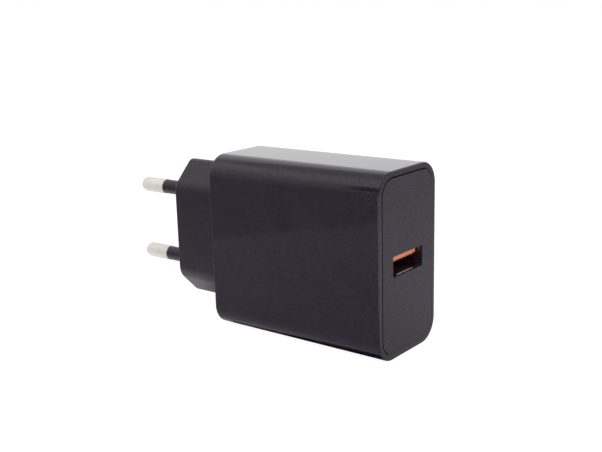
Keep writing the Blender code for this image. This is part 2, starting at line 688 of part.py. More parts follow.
def board_parts(looks, holes):
    """Everything on the board except the USB receptacle, laid out from the mains end to the port end."""
    resin = looks["black_resin"]
    for word, side in (("upper", 1), ("lower", -1)):
        can(f"bulk_capacitor_{word}", 28.0 * MM, side * 13.2 * MM, 5.0 * MM, 15.6 * MM, looks["can"], holes)
        metal = looks["metal_can"]
        can(f"output_capacitor_{word}", 57.0 * MM, side * 8.4 * MM, 4.0 * MM, 12.0 * MM, metal, holes)
        transformer_core(f"transformer_core_{word}", side, looks["ferrite"])
        choke_winding(f"choke_winding_{word}", side, looks["copper"], holes)
    choke_core(looks["ferrite"])
    transformer_bobbin(resin, holes)
    transformer_winding(looks["yellow_tape"])

    row = [(0, -1.8 * MM), (0, 1.8 * MM)]
    block("fuse", (25.0 * MM, 5.2 * MM), (4.0 * MM, 8.0 * MM, 5.4 * MM), resin, holes, row)
    row = [(0, z * MM) for z in (-2.7, -0.9, 0.9, 2.7)]
    block("bridge_rectifier", (30.0 * MM, 0.0), (3.4 * MM, 7.0 * MM, 7.6 * MM), resin, holes, row)
    row = [(x * MM, 0) for x in (-2.2, 0, 2.2)]
    block("switching_transistor", (45.2 * MM, 14.9 * MM), (6.6 * MM, 12.0 * MM, 3.6 * MM), resin, holes, row)
    heat_sink(looks["aluminium"])
    corners = [(x * MM, z * MM) for x in (-2.4, 2.4) for z in (-1.3, 1.3)]
    block("opto_coupler", (46.0 * MM, -14.4 * MM), (6.2 * MM, 3.6 * MM, 4.6 * MM), resin, holes, corners)

    disc("inrush_limiter", (24.6 * MM, -4.2 * MM), 3.6 * MM, 3.0 * MM, looks["green_resin"], holes)
    disc("safety_capacitor", (40.0 * MM, -14.4 * MM), 3.4 * MM, 3.0 * MM, looks["blue_resin"], holes)
    drum("filter_choke", (36.0 * MM, -14.6 * MM), 2.0 * MM, 7.0 * MM, looks["ferrite"], holes)
    drum("output_choke", (54.0 * MM, -15.6 * MM), 2.6 * MM, 8.0 * MM, looks["ferrite"], holes)

    surface_chip("controller_chip", (33.5 * MM, 6.0 * MM), (4.0 * MM, 0.9 * MM, 5.0 * MM), resin)
    surface_chip("rectifier_chip", (53.0 * MM, 14.0 * MM), (4.0 * MM, 0.9 * MM, 5.0 * MM), resin)
    surface_chip("protocol_chip", (60.0 * MM, 14.5 * MM), (3.6 * MM, 0.9 * MM, 4.4 * MM), resin)


# ---------------------------------------------------------------- USB receptacle


def usb_shell(look, slots):
    """The folded steel shell, open at both ends, with four spring windows and two legs into the board."""
    outer = rectangle(SHELL_WIDTH, SHELL_HEIGHT, 0.5 * MM, 4)
    inner = rectangle(SHELL_WIDTH - 2 * SHELL_SHEET, SHELL_HEIGHT - 2 * SHELL_SHEET, 0.2 * MM, 4)
    sections = [(SHELL_REAR_X, outer), (SHELL_MOUTH_X, outer)]
    sections += [(SHELL_MOUTH_X, inner), (SHELL_REAR_X, inner)]
    made = loft("usb_shell", sections, look, closed=True)
    window_rear_x = SPRING_ROOT_X - SPRING_LENGTH - SPRING_GAP
    window_front_x = SPRING_ROOT_X + 0.05 * MM
    window_half = SPRING_WIDTH / 2 + SPRING_GAP
    for top in (-1, 1):
        inside_z = top * (SHELL_HEIGHT / 2 - 2 * SHELL_SHEET)
        outside_z = top * (SHELL_HEIGHT / 2 + SHELL_SHEET)
        low_z, high_z = sorted((inside_z, outside_z))
        for y in (-SPRING_Y, SPRING_Y):
            low = (window_rear_x, y - window_half, low_z)
            high = (window_front_x, y + window_half, high_z)
            combine(made, "DIFFERENCE", box("window", low, high, look))
        wall_z = top * (SHELL_HEIGHT - SHELL_SHEET) / 2
        for leg_x in (SHELL_REAR_X + 2.0 * MM, SHELL_REAR_X + 7.0 * MM):
            low = (leg_x - 0.8 * MM, SHELL_WIDTH / 2 - 0.6 * MM, wall_z - SHELL_SHEET / 2)
            high = (leg_x + 0.8 * MM, LEAD_END_Y, wall_z + SHELL_SHEET / 2)
            combine(made, "UNION", box("leg", low, high, look))
            slots.append(((leg_x, wall_z), (2.1 * MM, SHELL_SHEET + 0.5 * MM)))
    return made


def usb_insulator(look):
    """The moulded block and the tongue with a sloped nose, grooved underneath for each contact."""
    half_y = SHELL_WIDTH / 2 - SHELL_SHEET - 0.1 * MM
    half_z = SHELL_HEIGHT / 2 - SHELL_SHEET - 0.1 * MM
    edge = 0.15 * MM
    low = (SHELL_REAR_X, -half_y, -half_z)
    high = (TONGUE_ROOT_X, half_y, half_z)
    made = box("usb_insulator", low, high, look, edge)
    outline = [
        (TONGUE_ROOT_X - 1 * MM, TONGUE_UNDER_Z),
        (TONGUE_FRONT_X - TONGUE_NOSE_LENGTH, TONGUE_UNDER_Z),
        (TONGUE_FRONT_X, TONGUE_UNDER_Z + TONGUE_NOSE_HEIGHT),
        (TONGUE_FRONT_X, TONGUE_TOP_Z - edge),
        (TONGUE_FRONT_X - edge, TONGUE_TOP_Z),
        (TONGUE_ROOT_X - 1 * MM, TONGUE_TOP_Z),
    ]
    combine(made, "UNION", prism("tongue", outline, TONGUE_WIDTH, 0, look))
    for y in CONTACT_Y:
        low = (TONGUE_ROOT_X - 0.4 * MM, y - GROOVE_WIDTH / 2, TONGUE_UNDER_Z - 0.5 * MM)
        high = (TONGUE_FRONT_X - 1.0 * MM, y + GROOVE_WIDTH / 2, TONGUE_UNDER_Z + GROOVE_DEPTH)
        combine(made, "DIFFERENCE", box("groove", low, high, look))
    return made


def usb_contact(name, y, look):
    """A springy contact: its bump stands below the tongue, and its root and tip are in the groove."""
    root_x, root_z = TONGUE_ROOT_X - 0.15 * MM, CONTACT_ROOT_Z
    path = [
        (root_x, root_z),
        (root_x + 1.6 * MM, root_z - 0.05 * MM),
        (root_x + 5.2 * MM, TONGUE_UNDER_Z - 0.30 * MM),
        (root_x + 6.0 * MM, TONGUE_UNDER_Z - 0.42 * MM),
        (root_x + 6.8 * MM, TONGUE_UNDER_Z - 0.30 * MM),
        (root_x + 7.7 * MM, TONGUE_UNDER_Z + 0.08 * MM),
    ]
    return prism(name, sheet_outline(path, CONTACT_SHEET), CONTACT_WIDTH, y, look)


def usb_contact_tail(name, index, y, look, holes):
    """The rigid end of a contact: out of the block's back, then across to its hole in the board."""
    z = (index - 1.5) * 1.3 * MM
    back_x = SHELL_REAR_X - 1.2 * MM
    half = 0.25 * MM
    low = (back_x - half, y - half, z - half)
    made = box(name, low, (SHELL_REAR_X - 0.1 * MM, y + half, z + half), look)
    run = box("run", low, (back_x + half, LEAD_END_Y, z + half), look)
    holes.append((back_x, z, half * math.sqrt(2) + 0.15 * MM))
    return combine(made, "UNION", run)


def shell_spring(name, y, top, look):
    """A strip of the shell's wall, rooted near the mouth and bent inwards to grip the cable's plug."""
    wall_z = (SHELL_HEIGHT - SHELL_SHEET) / 2
    points = [
        (SPRING_ROOT_X, wall_z),
        (SPRING_ROOT_X - 1.2 * MM, wall_z - 0.05 * MM),
        (SPRING_ROOT_X - 4.4 * MM, wall_z - 0.50 * MM),
        (SPRING_ROOT_X - SPRING_LENGTH, wall_z),
    ]
    path = [(x, top * z) for x, z in points]
    return prism(name, sheet_outline(path, SHELL_SHEET), SPRING_WIDTH, y, look)


def usb_receptacle(looks, holes, slots):
    usb_shell(looks["steel"], slots)
    usb_insulator(looks["orange_resin"])
    for index, y in enumerate(CONTACT_Y):
        usb_contact(f"usb_contact_{index + 1}", y, looks["gold"])
        usb_contact_tail(f"usb_contact_tail_{index + 1}", index, y, looks["gold"], holes)
    for word, top in (("upper", 1), ("lower", -1)):
        for hand, y in (("left", -SPRING_Y), ("right", SPRING_Y)):
            shell_spring(f"usb_spring_{word}_{hand}", y, top, looks["steel"])


# ---------------------------------------------------------------- assembly


def make_looks():
    return {
        "gloss_black": material("gloss_black", (0.012, 0.011, 0.014), 0.12),
        "satin_black": material("satin_black", (0.020, 0.019, 0.022), 0.42),
        "nickel": material("nickel", (0.72, 0.70, 0.66), 0.25, 1.0),
        "sleeve_black": material("sleeve_black", (0.018, 0.017, 0.020), 0.35),
        "brown_wire": material("brown_wire", (0.16, 0.06, 0.025), 0.45),
        "blue_wire": material("blue_wire", (0.02, 0.08, 0.35), 0.45),
        "board_green": material("board_green", (0.015, 0.10, 0.035), 0.4),
        "can": material("can", (0.02, 0.03, 0.07), 0.35),
        "metal_can": material("metal_can", (0.65, 0.65, 0.66), 0.3, 1.0),
        "black_resin": material("black_resin", (0.02, 0.02, 0.02), 0.55),
        "green_resin": material("green_resin", (0.03, 0.13, 0.06), 0.5),
        "blue_resin": material("blue_resin", (0.02, 0.15, 0.45), 0.45),
        "orange_resin": material("orange_resin", (0.85, 0.22, 0.06), 0.4),
        "ferrite": material("ferrite", (0.045, 0.045, 0.05), 0.6),
        "yellow_tape": material("yellow_tape", (0.75, 0.52, 0.05), 0.4),
        "copper": material("copper", (0.65, 0.24, 0.10), 0.3, 1.0),
        "aluminium": material("aluminium", (0.75, 0.75, 0.76), 0.35, 1.0),
        "steel": material("steel", (0.62, 0.62, 0.63), 0.28, 1.0),
        "gold": material("gold", (0.85, 0.62, 0.25), 0.25, 1.0),
        "clear_film": material("clear_film", (0.75, 0.72, 0.62), 0.3),
    }


def main():
    clear_scene()
    looks = make_looks()
    holes, slots = [], []
    housing(looks["gloss_black"])
    front_panel(looks["satin_black"])
    plug_base(looks["satin_black"])
    for word, side in (("upper", 1), ("lower", -1)):
        pin(f"pin_{word}", side, looks["nickel"])
        pin_sleeve(f"pin_sleeve_{word}", side, looks["sleeve_black"])
    wire("live_wire", 1, (24.2 * MM, 9.0 * MM), looks["brown_wire"])
    wire("neutral_wire", -1, (24.2 * MM, -9.0 * MM), looks["blue_wire"])
    board_parts(looks, holes)
    usb_receptacle(looks, holes, slots)
    circuit_board(looks["board_green"], holes, slots)
    insulating_film(looks["clear_film"])


main()
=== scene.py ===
"""The looks of a USB wall charger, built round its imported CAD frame.

The row frame is in metres: +X points out of the wall towards the USB port, +Z is up along the
row of pins, and Y runs across the charger's thickness. Extents come from the CAD nodes' boxes.
Outlines are lists of (y, z) points, counter-clockwise seen from +X.
"""

import json
import math

import bmesh
import bpy
from mathutils import Matrix, Vector
from mathutils.geometry import interpolate_bezier


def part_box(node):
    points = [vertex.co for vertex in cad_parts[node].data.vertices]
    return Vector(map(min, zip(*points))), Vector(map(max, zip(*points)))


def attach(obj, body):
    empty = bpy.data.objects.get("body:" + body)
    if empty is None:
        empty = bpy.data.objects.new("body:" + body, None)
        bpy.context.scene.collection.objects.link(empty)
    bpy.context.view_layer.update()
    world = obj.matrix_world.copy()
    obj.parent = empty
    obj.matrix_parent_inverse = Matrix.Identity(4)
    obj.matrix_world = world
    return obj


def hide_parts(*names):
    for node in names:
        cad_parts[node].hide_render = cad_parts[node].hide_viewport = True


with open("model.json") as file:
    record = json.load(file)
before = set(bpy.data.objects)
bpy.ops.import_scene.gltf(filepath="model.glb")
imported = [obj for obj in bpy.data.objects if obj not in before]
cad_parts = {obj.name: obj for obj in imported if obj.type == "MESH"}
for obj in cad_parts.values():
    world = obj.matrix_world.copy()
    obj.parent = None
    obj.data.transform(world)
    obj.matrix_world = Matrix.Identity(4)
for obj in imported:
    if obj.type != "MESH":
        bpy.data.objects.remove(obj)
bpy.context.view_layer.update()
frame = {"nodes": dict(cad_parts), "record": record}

MM = 0.001
HOST = "charger"
# What comes twice: its name, and its side in z
HALVES = (("upper", 1), ("lower", -1))

# Casing
BODY_LOW, BODY_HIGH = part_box("housing")
BODY_REAR_X, FRONT_X = BODY_LOW.x, BODY_HIGH.x
BODY_WIDTH = BODY_HIGH.y - BODY_LOW.y
BODY_HEIGHT = BODY_HIGH.z - BODY_LOW.z
BODY_CORNER = 5.5 * MM
WALL = 1.8 * MM
BACK_WALL = 2.0 * MM
REAR_FILLET = 0.15 * MM
FRONT_FILLET = 0.3 * MM
RIM = 1.35 * MM
REBATE_DEPTH = 2.0 * MM
SEAM = 0.18 * MM
SEAM_EDGE = 0.06 * MM
PANEL_SHIFT = (0.0, 0.11 * MM, -0.09 * MM)
FIT = 0.2 * MM
CAVITY_BACK_X = BODY_REAR_X + BACK_WALL
CAVITY_HALF_Z = BODY_HEIGHT / 2 - WALL
RAIL_WIDTH = 0.9 * MM
RAIL_START_X = 24 * MM
RAIL_END_X = 58 * MM
HOOK_Y = (-5.0 * MM, 2.0 * MM)
HOOK_WIDTH = 4.0 * MM
HOOK_REAR_X = FRONT_X - 6.0 * MM
HOOK_BARB = 1.2 * MM
CORNER_STEPS = 24

# Plug block
PLUG_WIDTH = 14.0 * MM
PLUG_HEIGHT = 35.8 * MM
PLUG_CHAMFER = 6.1 * MM
PLUG_SIDE_RADIUS = 4.5 * MM
PLUG_END_RADIUS = 2.0 * MM
PLUG_WALL = 1.6 * MM
PLUG_FACE_WALL = 2.5 * MM
PLUG_FACE_FILLET = 0.4 * MM
FLANGE_DEPTH = 1.3 * MM
FLANGE_REACH = 1.6 * MM

# Pins
PIN_LOW, PIN_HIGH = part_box("pin_upper")
PIN_Z = (PIN_LOW.z + PIN_HIGH.z) / 2
PIN_RADIUS = (PIN_HIGH.z - PIN_LOW.z) / 2
PIN_TIP_X = PIN_LOW.x
PIN_POST_END = PIN_HIGH.x
PIN_INNER_END = 8.6 * MM
PIN_NECK_RADIUS = 1.45 * MM
PIN_POST_RADIUS = 1.2 * MM
PIN_BOSS_RADIUS = 3.7 * MM
PIN_GROOVES_X = (3.0 * MM, 5.5 * MM)
PIN_GROOVE_DEPTH = 0.35 * MM
SLEEVE_RADIUS = 1.9 * MM
SLEEVE_LENGTH = 10.0 * MM
ROUND_STEPS = 64

# Board, leads and wires
BOARD_LOW, BOARD_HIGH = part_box("circuit_board")
FOOT_Y = BOARD_LOW.y - 0.3 * MM
LEAD_END_Y = BOARD_HIGH.y + 0.9 * MM
LEAD_RADIUS = 0.3 * MM
WIRE_RADIUS = 0.75 * MM
WIRE_STEPS = 40
WIRE_PAD_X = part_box("live_wire")[1].x - WIRE_RADIUS
# How far back in mm from a chip foot's tip, and up from the chip's underside
CHIP_FOOT_BENDS = ((1.1, 0.45), (0.62, 0.45), (0.5, 0.38), (0.42, 0.17), (0.3, 0.1), (0, 0.1))

# USB receptacle
PORT_WIDTH = 12.4 * MM
PORT_HEIGHT = 4.8 * MM
PORT_CORNER = 0.35 * MM
PORT_EDGE = 0.2 * MM
PORT_LIP = 0.7 * MM
SHELL_LOW, SHELL_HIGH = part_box("usb_shell")
SHELL_SHEET = 0.3 * MM
SHELL_CORNER = 0.5 * MM
SHELL_STEPS = 10
SHELL_WIDTH = -2 * SHELL_LOW.y
SHELL_HEIGHT = SHELL_HIGH.z - SHELL_LOW.z
SHELL_REAR_X, SHELL_MOUTH_X = SHELL_LOW.x, SHELL_HIGH.x
SHELL_RIB_X = SHELL_MOUTH_X - 0.3 * MM
SHELL_RIB_RADIUS = 0.25 * MM
SHELL_RIB_HALF = 3.3 * MM
SPRING_Y = 3.2 * MM
SPRING_WIDTH = 1.8 * MM
SPRING_ROOT_X = SHELL_MOUTH_X - 2.6 * MM
SPRING_LENGTH = 5.6 * MM
SPRING_GAP = 0.3 * MM
SPRING_DEPTH = 0.48 * MM
SPRING_LEAN = 1.9
SPRING_EDGE = 0.04 * MM
TONGUE_FRONT_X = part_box("usb_insulator")[1].x
TONGUE_LENGTH = 8.8 * MM
TONGUE_WIDTH = 11.1 * MM
TONGUE_TOP_Z = 1.9 * MM
TONGUE_UNDER_Z = TONGUE_TOP_Z - 1.84 * MM
TONGUE_ROOT_X = TONGUE_FRONT_X - TONGUE_LENGTH
TONGUE_NOSE_LENGTH = 0.8 * MM
TONGUE_NOSE_HEIGHT = 0.75 * MM
TONGUE_EDGE = 0.12 * MM
CONTACT_Y = (-3.5 * MM, -1.0 * MM, 1.0 * MM, 3.5 * MM)
CONTACT_WIDTH = 1.0 * MM
CONTACT_SHEET = 0.25 * MM
CONTACT_EDGE = 0.03 * MM
# Distances in mm from a contact's root, and heights over the tongue's underside
CONTACT_BENDS = ((0, 0.4), (1.6, 0.35), (3.6, 0), (5.2, -0.3), (6, -0.42), (6.8, -0.3), (7.7, 0.08))
GROOVE_WIDTH = 1.3 * MM
GROOVE_DEPTH = 0.95 * MM

# Camera, at the photograph's angle
CAMERA_PLACE = Vector((171.99, -173.49, 58.45)) * MM
CAMERA_AZIMUTH = math.radians(38.14)
CAMERA_ELEVATION = math.radians(13.82)
CAMERA_ROLL = math.radians(-1.53)
CAMERA_LENS = 55.81

# Light for matt surfaces, and the light table that the camera sees in place of the floor
SOFT_LIGHT = 1.2
LIGHT_TABLE = 1.1
LIGHT_TABLE_SHARE = 0.85


# ---- shader tools

# Noise runs from 0 to 1 and keeps near its middle, so looks change over these parts of its range.
WIDE_NOISE = (0.3, 0.7)
NARROW_NOISE = (0.35, 0.65)
PLASTIC_SPECULAR = 0.5


def feed(tree, socket, value):
    """Gives a shader input another node's output, a plain value or a colour."""
    if isinstance(value, bpy.types.NodeSocket):
        tree.links.new(value, socket)
    elif socket.type == "RGBA":
        socket.default_value = (*value, 1.0)
    else:
        socket.default_value = value


def feed_named(tree, made, **inputs):
    """Feeds a node's inputs by their names, with _ for a space."""
    for key, value in inputs.items():
        feed(tree, made.inputs[key.replace("_", " ")], value)


def node(tree, kind, settings=None, **inputs):
    """Adds a shader node with its settings and named inputs."""
    made = tree.nodes.new("ShaderNode" + kind)
    for key, value in (settings or {}).items():
        setattr(made, key, value)
    feed_named(tree, made, **inputs)
    return made


def calculate(tree, operation, *values):
    """Adds a math node and returns its output."""
    made = node(tree, "Math", {"operation": operation})
    for socket, value in zip(made.inputs, values):
        feed(tree, socket, value)
    return made.outputs[0]


def between(tree, share, first, second, kind="FLOAT", sockets=(0, 2, 3), output=0):
    """A number on the way from the first to the second, by a share from 0 to 1."""
    made = node(tree, "Mix", {"data_type": kind})
    for index, value in zip(sockets, (share, first, second)):
        feed(tree, made.inputs[index], value)
    return made.outputs[output]


def blend_colours(tree, share, first, second):
    return between(tree, share, first, second, "RGBA", (0, 6, 7), 2)


def switch(tree, share, first, second):
    """The first shader where the share is 0, and the second where it is 1."""
    made = node(tree, "MixShader", Fac=share)
    tree.links.new(first.outputs[0], made.inputs[1])
    tree.links.new(second.outputs[0], made.inputs[2])
    return made


def ramp(tree, value, low, high, low_result=0.0, high_result=1.0):
    """Maps a value from one range to another, smoothly and clamped."""
    settings = {"interpolation_type": "SMOOTHSTEP"}
    ends = {"From_Min": low, "From_Max": high, "To_Min": low_result, "To_Max": high_result}
    return node(tree, "MapRange", settings, Value=value, **ends).outputs["Result"]


def stretched_place(tree, stretch=(1, 1, 1)):
    """The point being shaded, in metres, with each axis multiplied by its stretch."""
    place = node(tree, "TexCoord").outputs["Object"]
    if stretch == (1, 1, 1):
        return place
    return node(tree, "Mapping", Vector=place, Scale=stretch).outputs["Vector"]


def speckle(tree, place, size, detail=3.0):
    """Noise from 0 to 1 whose features are about that size in metres."""
    return node(tree, "TexNoise", Vector=place, Scale=1 / size, Detail=detail).outputs["Fac"]


def weighted(tree, first, second, share):
    """A sum of two values, the first counted by its share and the second by the rest."""
    rest = calculate(tree, "MULTIPLY", second, 1 - share)
    return calculate(tree, "MULTIPLY_ADD", first, share, rest)


def mottled(tree, colour, change, share):
    """A colour that goes from darker to lighter as the share goes from 0 to 1."""
    darker = [part * (1 - change) for part in colour]
    lighter = [min(1.0, part * (1 + change)) for part in colour]
    return blend_colours(tree, share, darker, lighter)


def start_look(name, roughness, metallic=0.0):
    made = bpy.data.materials.new(name)
    made.use_nodes = True
    tree = made.node_tree
    shader = tree.nodes["Principled BSDF"]
    feed_named(tree, shader, Roughness=roughness, Metallic=metallic)
    return made, tree, shader


def finish_look(tree, shader, height, depth, **inputs):
    """Feeds a look's shader, and gives it relief from a height of 0 to 1 and a depth in metres."""
    relief = node(tree, "Bump", Height=height, Distance=depth, Strength=1.0)
    feed_named(tree, shader, Normal=relief.outputs["Normal"], **inputs)


def moulded(name, colour, roughness, grain=0.25 * MM, depth=0.004 * MM, mottle=0.12):
    """A moulded or dipped surface: fine relief, a grainy shine, and slow changes of tone and gloss."""
    made, tree, shader = start_look(name, roughness)
    place = stretched_place(tree)
    fine = speckle(tree, place, grain)
    slow = speckle(tree, place, 9 * MM, detail=2.0)
    tone = weighted(tree, fine, slow, 0.5)
    colours = mottled(tree, colour, mottle, ramp(tree, tone, *WIDE_NOISE))
    gloss = ramp(tree, tone, *WIDE_NOISE, roughness * 0.9, roughness * 1.1)
    dull, bright = PLASTIC_SPECULAR * (1 - mottle), PLASTIC_SPECULAR * (1 + mottle)
    shine = ramp(tree, fine, *NARROW_NOISE, dull, bright)
    finish_look(tree, shader, fine, depth, Base_Color=colours, Roughness=gloss, Specular_IOR_Level=shine)
    return made


def polished(name, colour, roughness):
    """Glossy moulded plastic: slight waviness, a fine grain of tone, hairline scratches and dust."""
    made, tree, shader = start_look(name, roughness)
    place = stretched_place(tree)
    slow = speckle(tree, place, 7 * MM, detail=2.0)
    grain = speckle(tree, place, 0.35 * MM, detail=2.0)
    drawn_out = stretched_place(tree, (0.06, 1.0, 1.0))
    scratch_low, scratch_high, scratch_roughness, scratch_height = 0.66, 0.74, 0.06, -0.1
    lines = speckle(tree, drawn_out, 0.16 * MM, detail=2.0)
    scratches = ramp(tree, lines, scratch_low, scratch_high)
    tone = weighted(tree, grain, slow, 0.7)
    colours = mottled(tree, colour, 0.3, ramp(tree, tone, *NARROW_NOISE))
    dust_spacing, dust_rarity, dust_cover = 4 * MM, 0.72, 0.1
    dust_inner, dust_outer = 0.02, 0.035
    cells = node(tree, "TexVoronoi", Vector=place, Scale=1 / dust_spacing)
    speck = ramp(tree, cells.outputs["Distance"], dust_inner, dust_outer, 1.0, 0.0)
    pick = node(tree, "SeparateColor", Color=cells.outputs["Color"]).outputs["Red"]
    dust = calculate(tree, "MULTIPLY", speck, calculate(tree, "GREATER_THAN", pick, dust_rarity))
    dust = calculate(tree, "MULTIPLY", dust, dust_cover)
    dusty = blend_colours(tree, dust, colours, (0.3, 0.3, 0.28))
    gloss = ramp(tree, slow, *WIDE_NOISE, roughness, roughness * 1.5)
    worn = calculate(tree, "MULTIPLY_ADD", scratches, scratch_roughness, gloss)
    shine = ramp(tree, grain, *NARROW_NOISE, 0.43, 0.57)
    height = calculate(tree, "MULTIPLY_ADD", scratches, scratch_height, slow)
    depth = 0.008 * MM
    finish_look(tree, shader, height, depth, Base_Color=dusty, Roughness=worn, Specular_IOR_Level=shine)
    return made


def plated(name, colour, roughness, along=(1, 1, 1), metallic=1.0):
    """Plated or rolled metal, with fine lines drawn out along the axes whose stretch is small."""
    made, tree, shader = start_look(name, roughness, metallic)
    lines = speckle(tree, stretched_place(tree, along), 0.12 * MM)
    slow = speckle(tree, stretched_place(tree), 4 * MM, detail=2.0)
    tone = weighted(tree, lines, slow, 0.4)
    colours = mottled(tree, colour, 0.08, ramp(tree, tone, *WIDE_NOISE))
    gloss = ramp(tree, tone, *WIDE_NOISE, roughness * 0.8, roughness * 1.25)
    finish_look(tree, shader, lines, 0.002 * MM, Base_Color=colours, Roughness=gloss)
    return made


def make_looks():
    """One look for each of the record's material slots, and one for the plug block."""
    along_x = (0.05, 1, 1)
    along_y = (1, 0.1, 1)
    panel_black = (0.0110, 0.0092, 0.0140)
    plug_black = (0.0062, 0.0044, 0.0092)
    orange = (0.55, 0.162, 0.068)
    looks = {
        "gloss_black": polished("gloss_black_plastic", (0.0080, 0.0056, 0.0118), 0.06),
        "satin_black": moulded("satin_black_plastic", panel_black, 0.42, 0.35 * MM, 0.014 * MM, 0.3),
        "plug_black": moulded("matt_black_plastic", plug_black, 0.44, 0.32 * MM, 0.008 * MM, 0.22),
        "nickel": plated("nickel_plate", (0.58, 0.565, 0.52), 0.55, along_x, metallic=0.5),
        "sleeve_black": moulded("sleeve_black_plastic", (0.005, 0.0032, 0.008), 0.42, 0.12 * MM),
        "brown_wire": moulded("brown_insulation", (0.16, 0.06, 0.025), 0.42),
        "blue_wire": moulded("blue_insulation", (0.02, 0.08, 0.35), 0.42),
        "board_green": moulded("green_solder_mask", (0.015, 0.10, 0.035), 0.3, 0.5 * MM, 0.01 * MM),
        "clear_film": moulded("pale_film", (0.75, 0.72, 0.62), 0.3),
        "can": moulded("dark_blue_sleeve", (0.02, 0.03, 0.07), 0.3),
        "metal_can": plated("aluminium_can", (0.70, 0.70, 0.71), 0.28, along_y),
        "black_resin": moulded("black_resin", (0.02, 0.02, 0.02), 0.5, 0.1 * MM, 0.006 * MM),
        "green_resin": moulded("green_resin", (0.03, 0.13, 0.06), 0.38),
        "blue_resin": moulded("blue_resin", (0.02, 0.15, 0.45), 0.3),
        "orange_resin": moulded("orange_plastic", orange, 0.36, 0.2 * MM, 0.003 * MM, 0.06),
        "ferrite": moulded("grey_ferrite", (0.045, 0.045, 0.05), 0.55, 0.1 * MM, 0.01 * MM, 0.3),
        "yellow_tape": moulded("yellow_tape", (0.75, 0.52, 0.05), 0.3),
        "copper": plated("enamelled_copper", (0.65, 0.24, 0.10), 0.28),
        "aluminium": plated("rolled_aluminium", (0.75, 0.75, 0.76), 0.35, along_x),
        "steel": plated("nickel_plated_steel", (0.32, 0.23, 0.30), 0.3, along_x),
        "gold": plated("gold_flash", (0.85, 0.62, 0.25), 0.25, along_x),
    }
    violet_shine = (0.96, 0.87, 1.0)
    for name in ("satin_black", "plug_black", "sleeve_black"):
        tree = looks[name].node_tree
        feed_named(tree, tree.nodes["Principled BSDF"], Specular_Tint=violet_shine)
    return looks


LOOKS = make_looks()


# ---- mesh tools


def solid(name, bm, look=None):
    """Turns a bmesh into an object with outward faces and one of the looks."""
    bmesh.ops.recalc_face_normals(bm, faces=bm.faces)
    mesh = bpy.data.meshes.new(name)
    bm.to_mesh(mesh)
    bm.free()
    if look:
        mesh.materials.append(LOOKS[look])
    return place_object(name, mesh)


def place_object(name, data):
    made = bpy.data.objects.new(name, data)
    bpy.context.scene.collection.objects.link(made)
    return made


def combine(target, operation, tool):
    """Applies a Boolean of the target with a tool, and removes the tool."""
    modifier = target.modifiers.new(operation.title(), "BOOLEAN")
    modifier.operation = operation
    modifier.object = tool
    bpy.context.view_layer.update()
    graph = bpy.context.evaluated_depsgraph_get()
    shaped = bpy.data.meshes.new_from_object(target.evaluated_get(graph))
    target.modifiers.clear()
    target.data = shaped
    bpy.data.objects.remove(tool)


def join(target, tool):
    combine(target, "UNION", tool)


def cut(target, tool):
    combine(target, "DIFFERENCE", tool)


def show(made, slot, *nodes, body=HOST, crease=30, bevel=0.0):
    """Smooths a finished piece, fixes it to its body and lets it stand for its CAD nodes."""
    made.data.shade_smooth()
    made.data.set_sharp_from_angle(angle=math.radians(crease))
    if bevel:
        add_bevel(made, bevel)
    even = made.modifiers.new("Even shading", "WEIGHTED_NORMAL")
    even.keep_sharp = True
    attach(made, body)
    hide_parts(*nodes)


def add_bevel(made, width, segments=3):
    edge = made.modifiers.new("Edge", "BEVEL")
    edge.width = width
    edge.segments = segments
    edge.limit_method = "ANGLE"
    edge.angle_limit = math.radians(40)
    edge.harden_normals = True


def skin(bm, rings, closed):
    """Joins each ring to the next, and the last to the first if closed, or else caps the ends."""
    count = len(rings[0])
    pairs = list(zip(rings, rings[1:]))
    if closed:
        pairs.append((rings[-1], rings[0]))
    for lower, upper in pairs:
        for i in range(count):
            j = (i + 1) % count
            bm.faces.new((lower[i], lower[j], upper[j], upper[i]))
    if not closed:
        bm.faces.new(rings[0])
        bm.faces.new(rings[-1])


def loft(name, sections, look, closed=False):
    """A solid through (x, outline) sections that all have the same number of points."""
    bm = bmesh.new()
    rings = [[bm.verts.new((x, y, z)) for y, z in outline] for x, outline in sections]
    skin(bm, rings, closed)
    return solid(name, bm, look)


AXIS_TURN = {
    "X": Matrix.Identity(4),
    "Y": Matrix.Rotation(math.radians(90), 4, "Z"),
    "-Y": Matrix.Rotation(math.radians(-90), 4, "Z"),
}


def lathe(name, profile, place, look, axis="X", steps=ROUND_STEPS, closed=False):
    """Turns (distance along the axis, radius) points into a solid, or a closed loop into a ring."""
    bm = bmesh.new()
    turn = Matrix.Translation(place) @ AXIS_TURN[axis]
    rings = []
    for along, radius in profile:
        points = [Vector((along, radius * y, radius * z)) for y, z in circle(steps)]
        rings.append([bm.verts.new(turn @ point) for point in points])
    skin(bm, rings, closed)
    return solid(name, bm, look)


def box(name, corner, far_corner, look):
    low, high = zip(*map(sorted, zip(corner, far_corner)))
    bm = bmesh.new()
    size = Vector(high) - Vector(low)
    centre = (Vector(high) + Vector(low)) / 2
    spread = Matrix.Translation(centre) @ Matrix.Diagonal((*size, 1.0))
    bmesh.ops.create_cube(bm, size=1.0, matrix=spread)
    return solid(name, bm, look)


def prism(name, outline, thickness, middle, look, along="Y"):
    """An outline made thick along Y, from (x, z) points, or along Z, from (x, y) points."""
    bm = bmesh.new()
    level = middle - thickness / 2
    points = [(a, level, b) if along == "Y" else (a, b, level) for a, b in outline]
    face = bm.faces.new([bm.verts.new(point) for point in points])
    grown = bmesh.ops.extrude_face_region(bm, geom=[face])["geom"]
    moved = [part for part in grown if isinstance(part, bmesh.types.BMVert)]
    step = (0, thickness, 0) if along == "Y" else (0, 0, thickness)
    bmesh.ops.translate(bm, verts=moved, vec=step)
    return solid(name, bm, look)


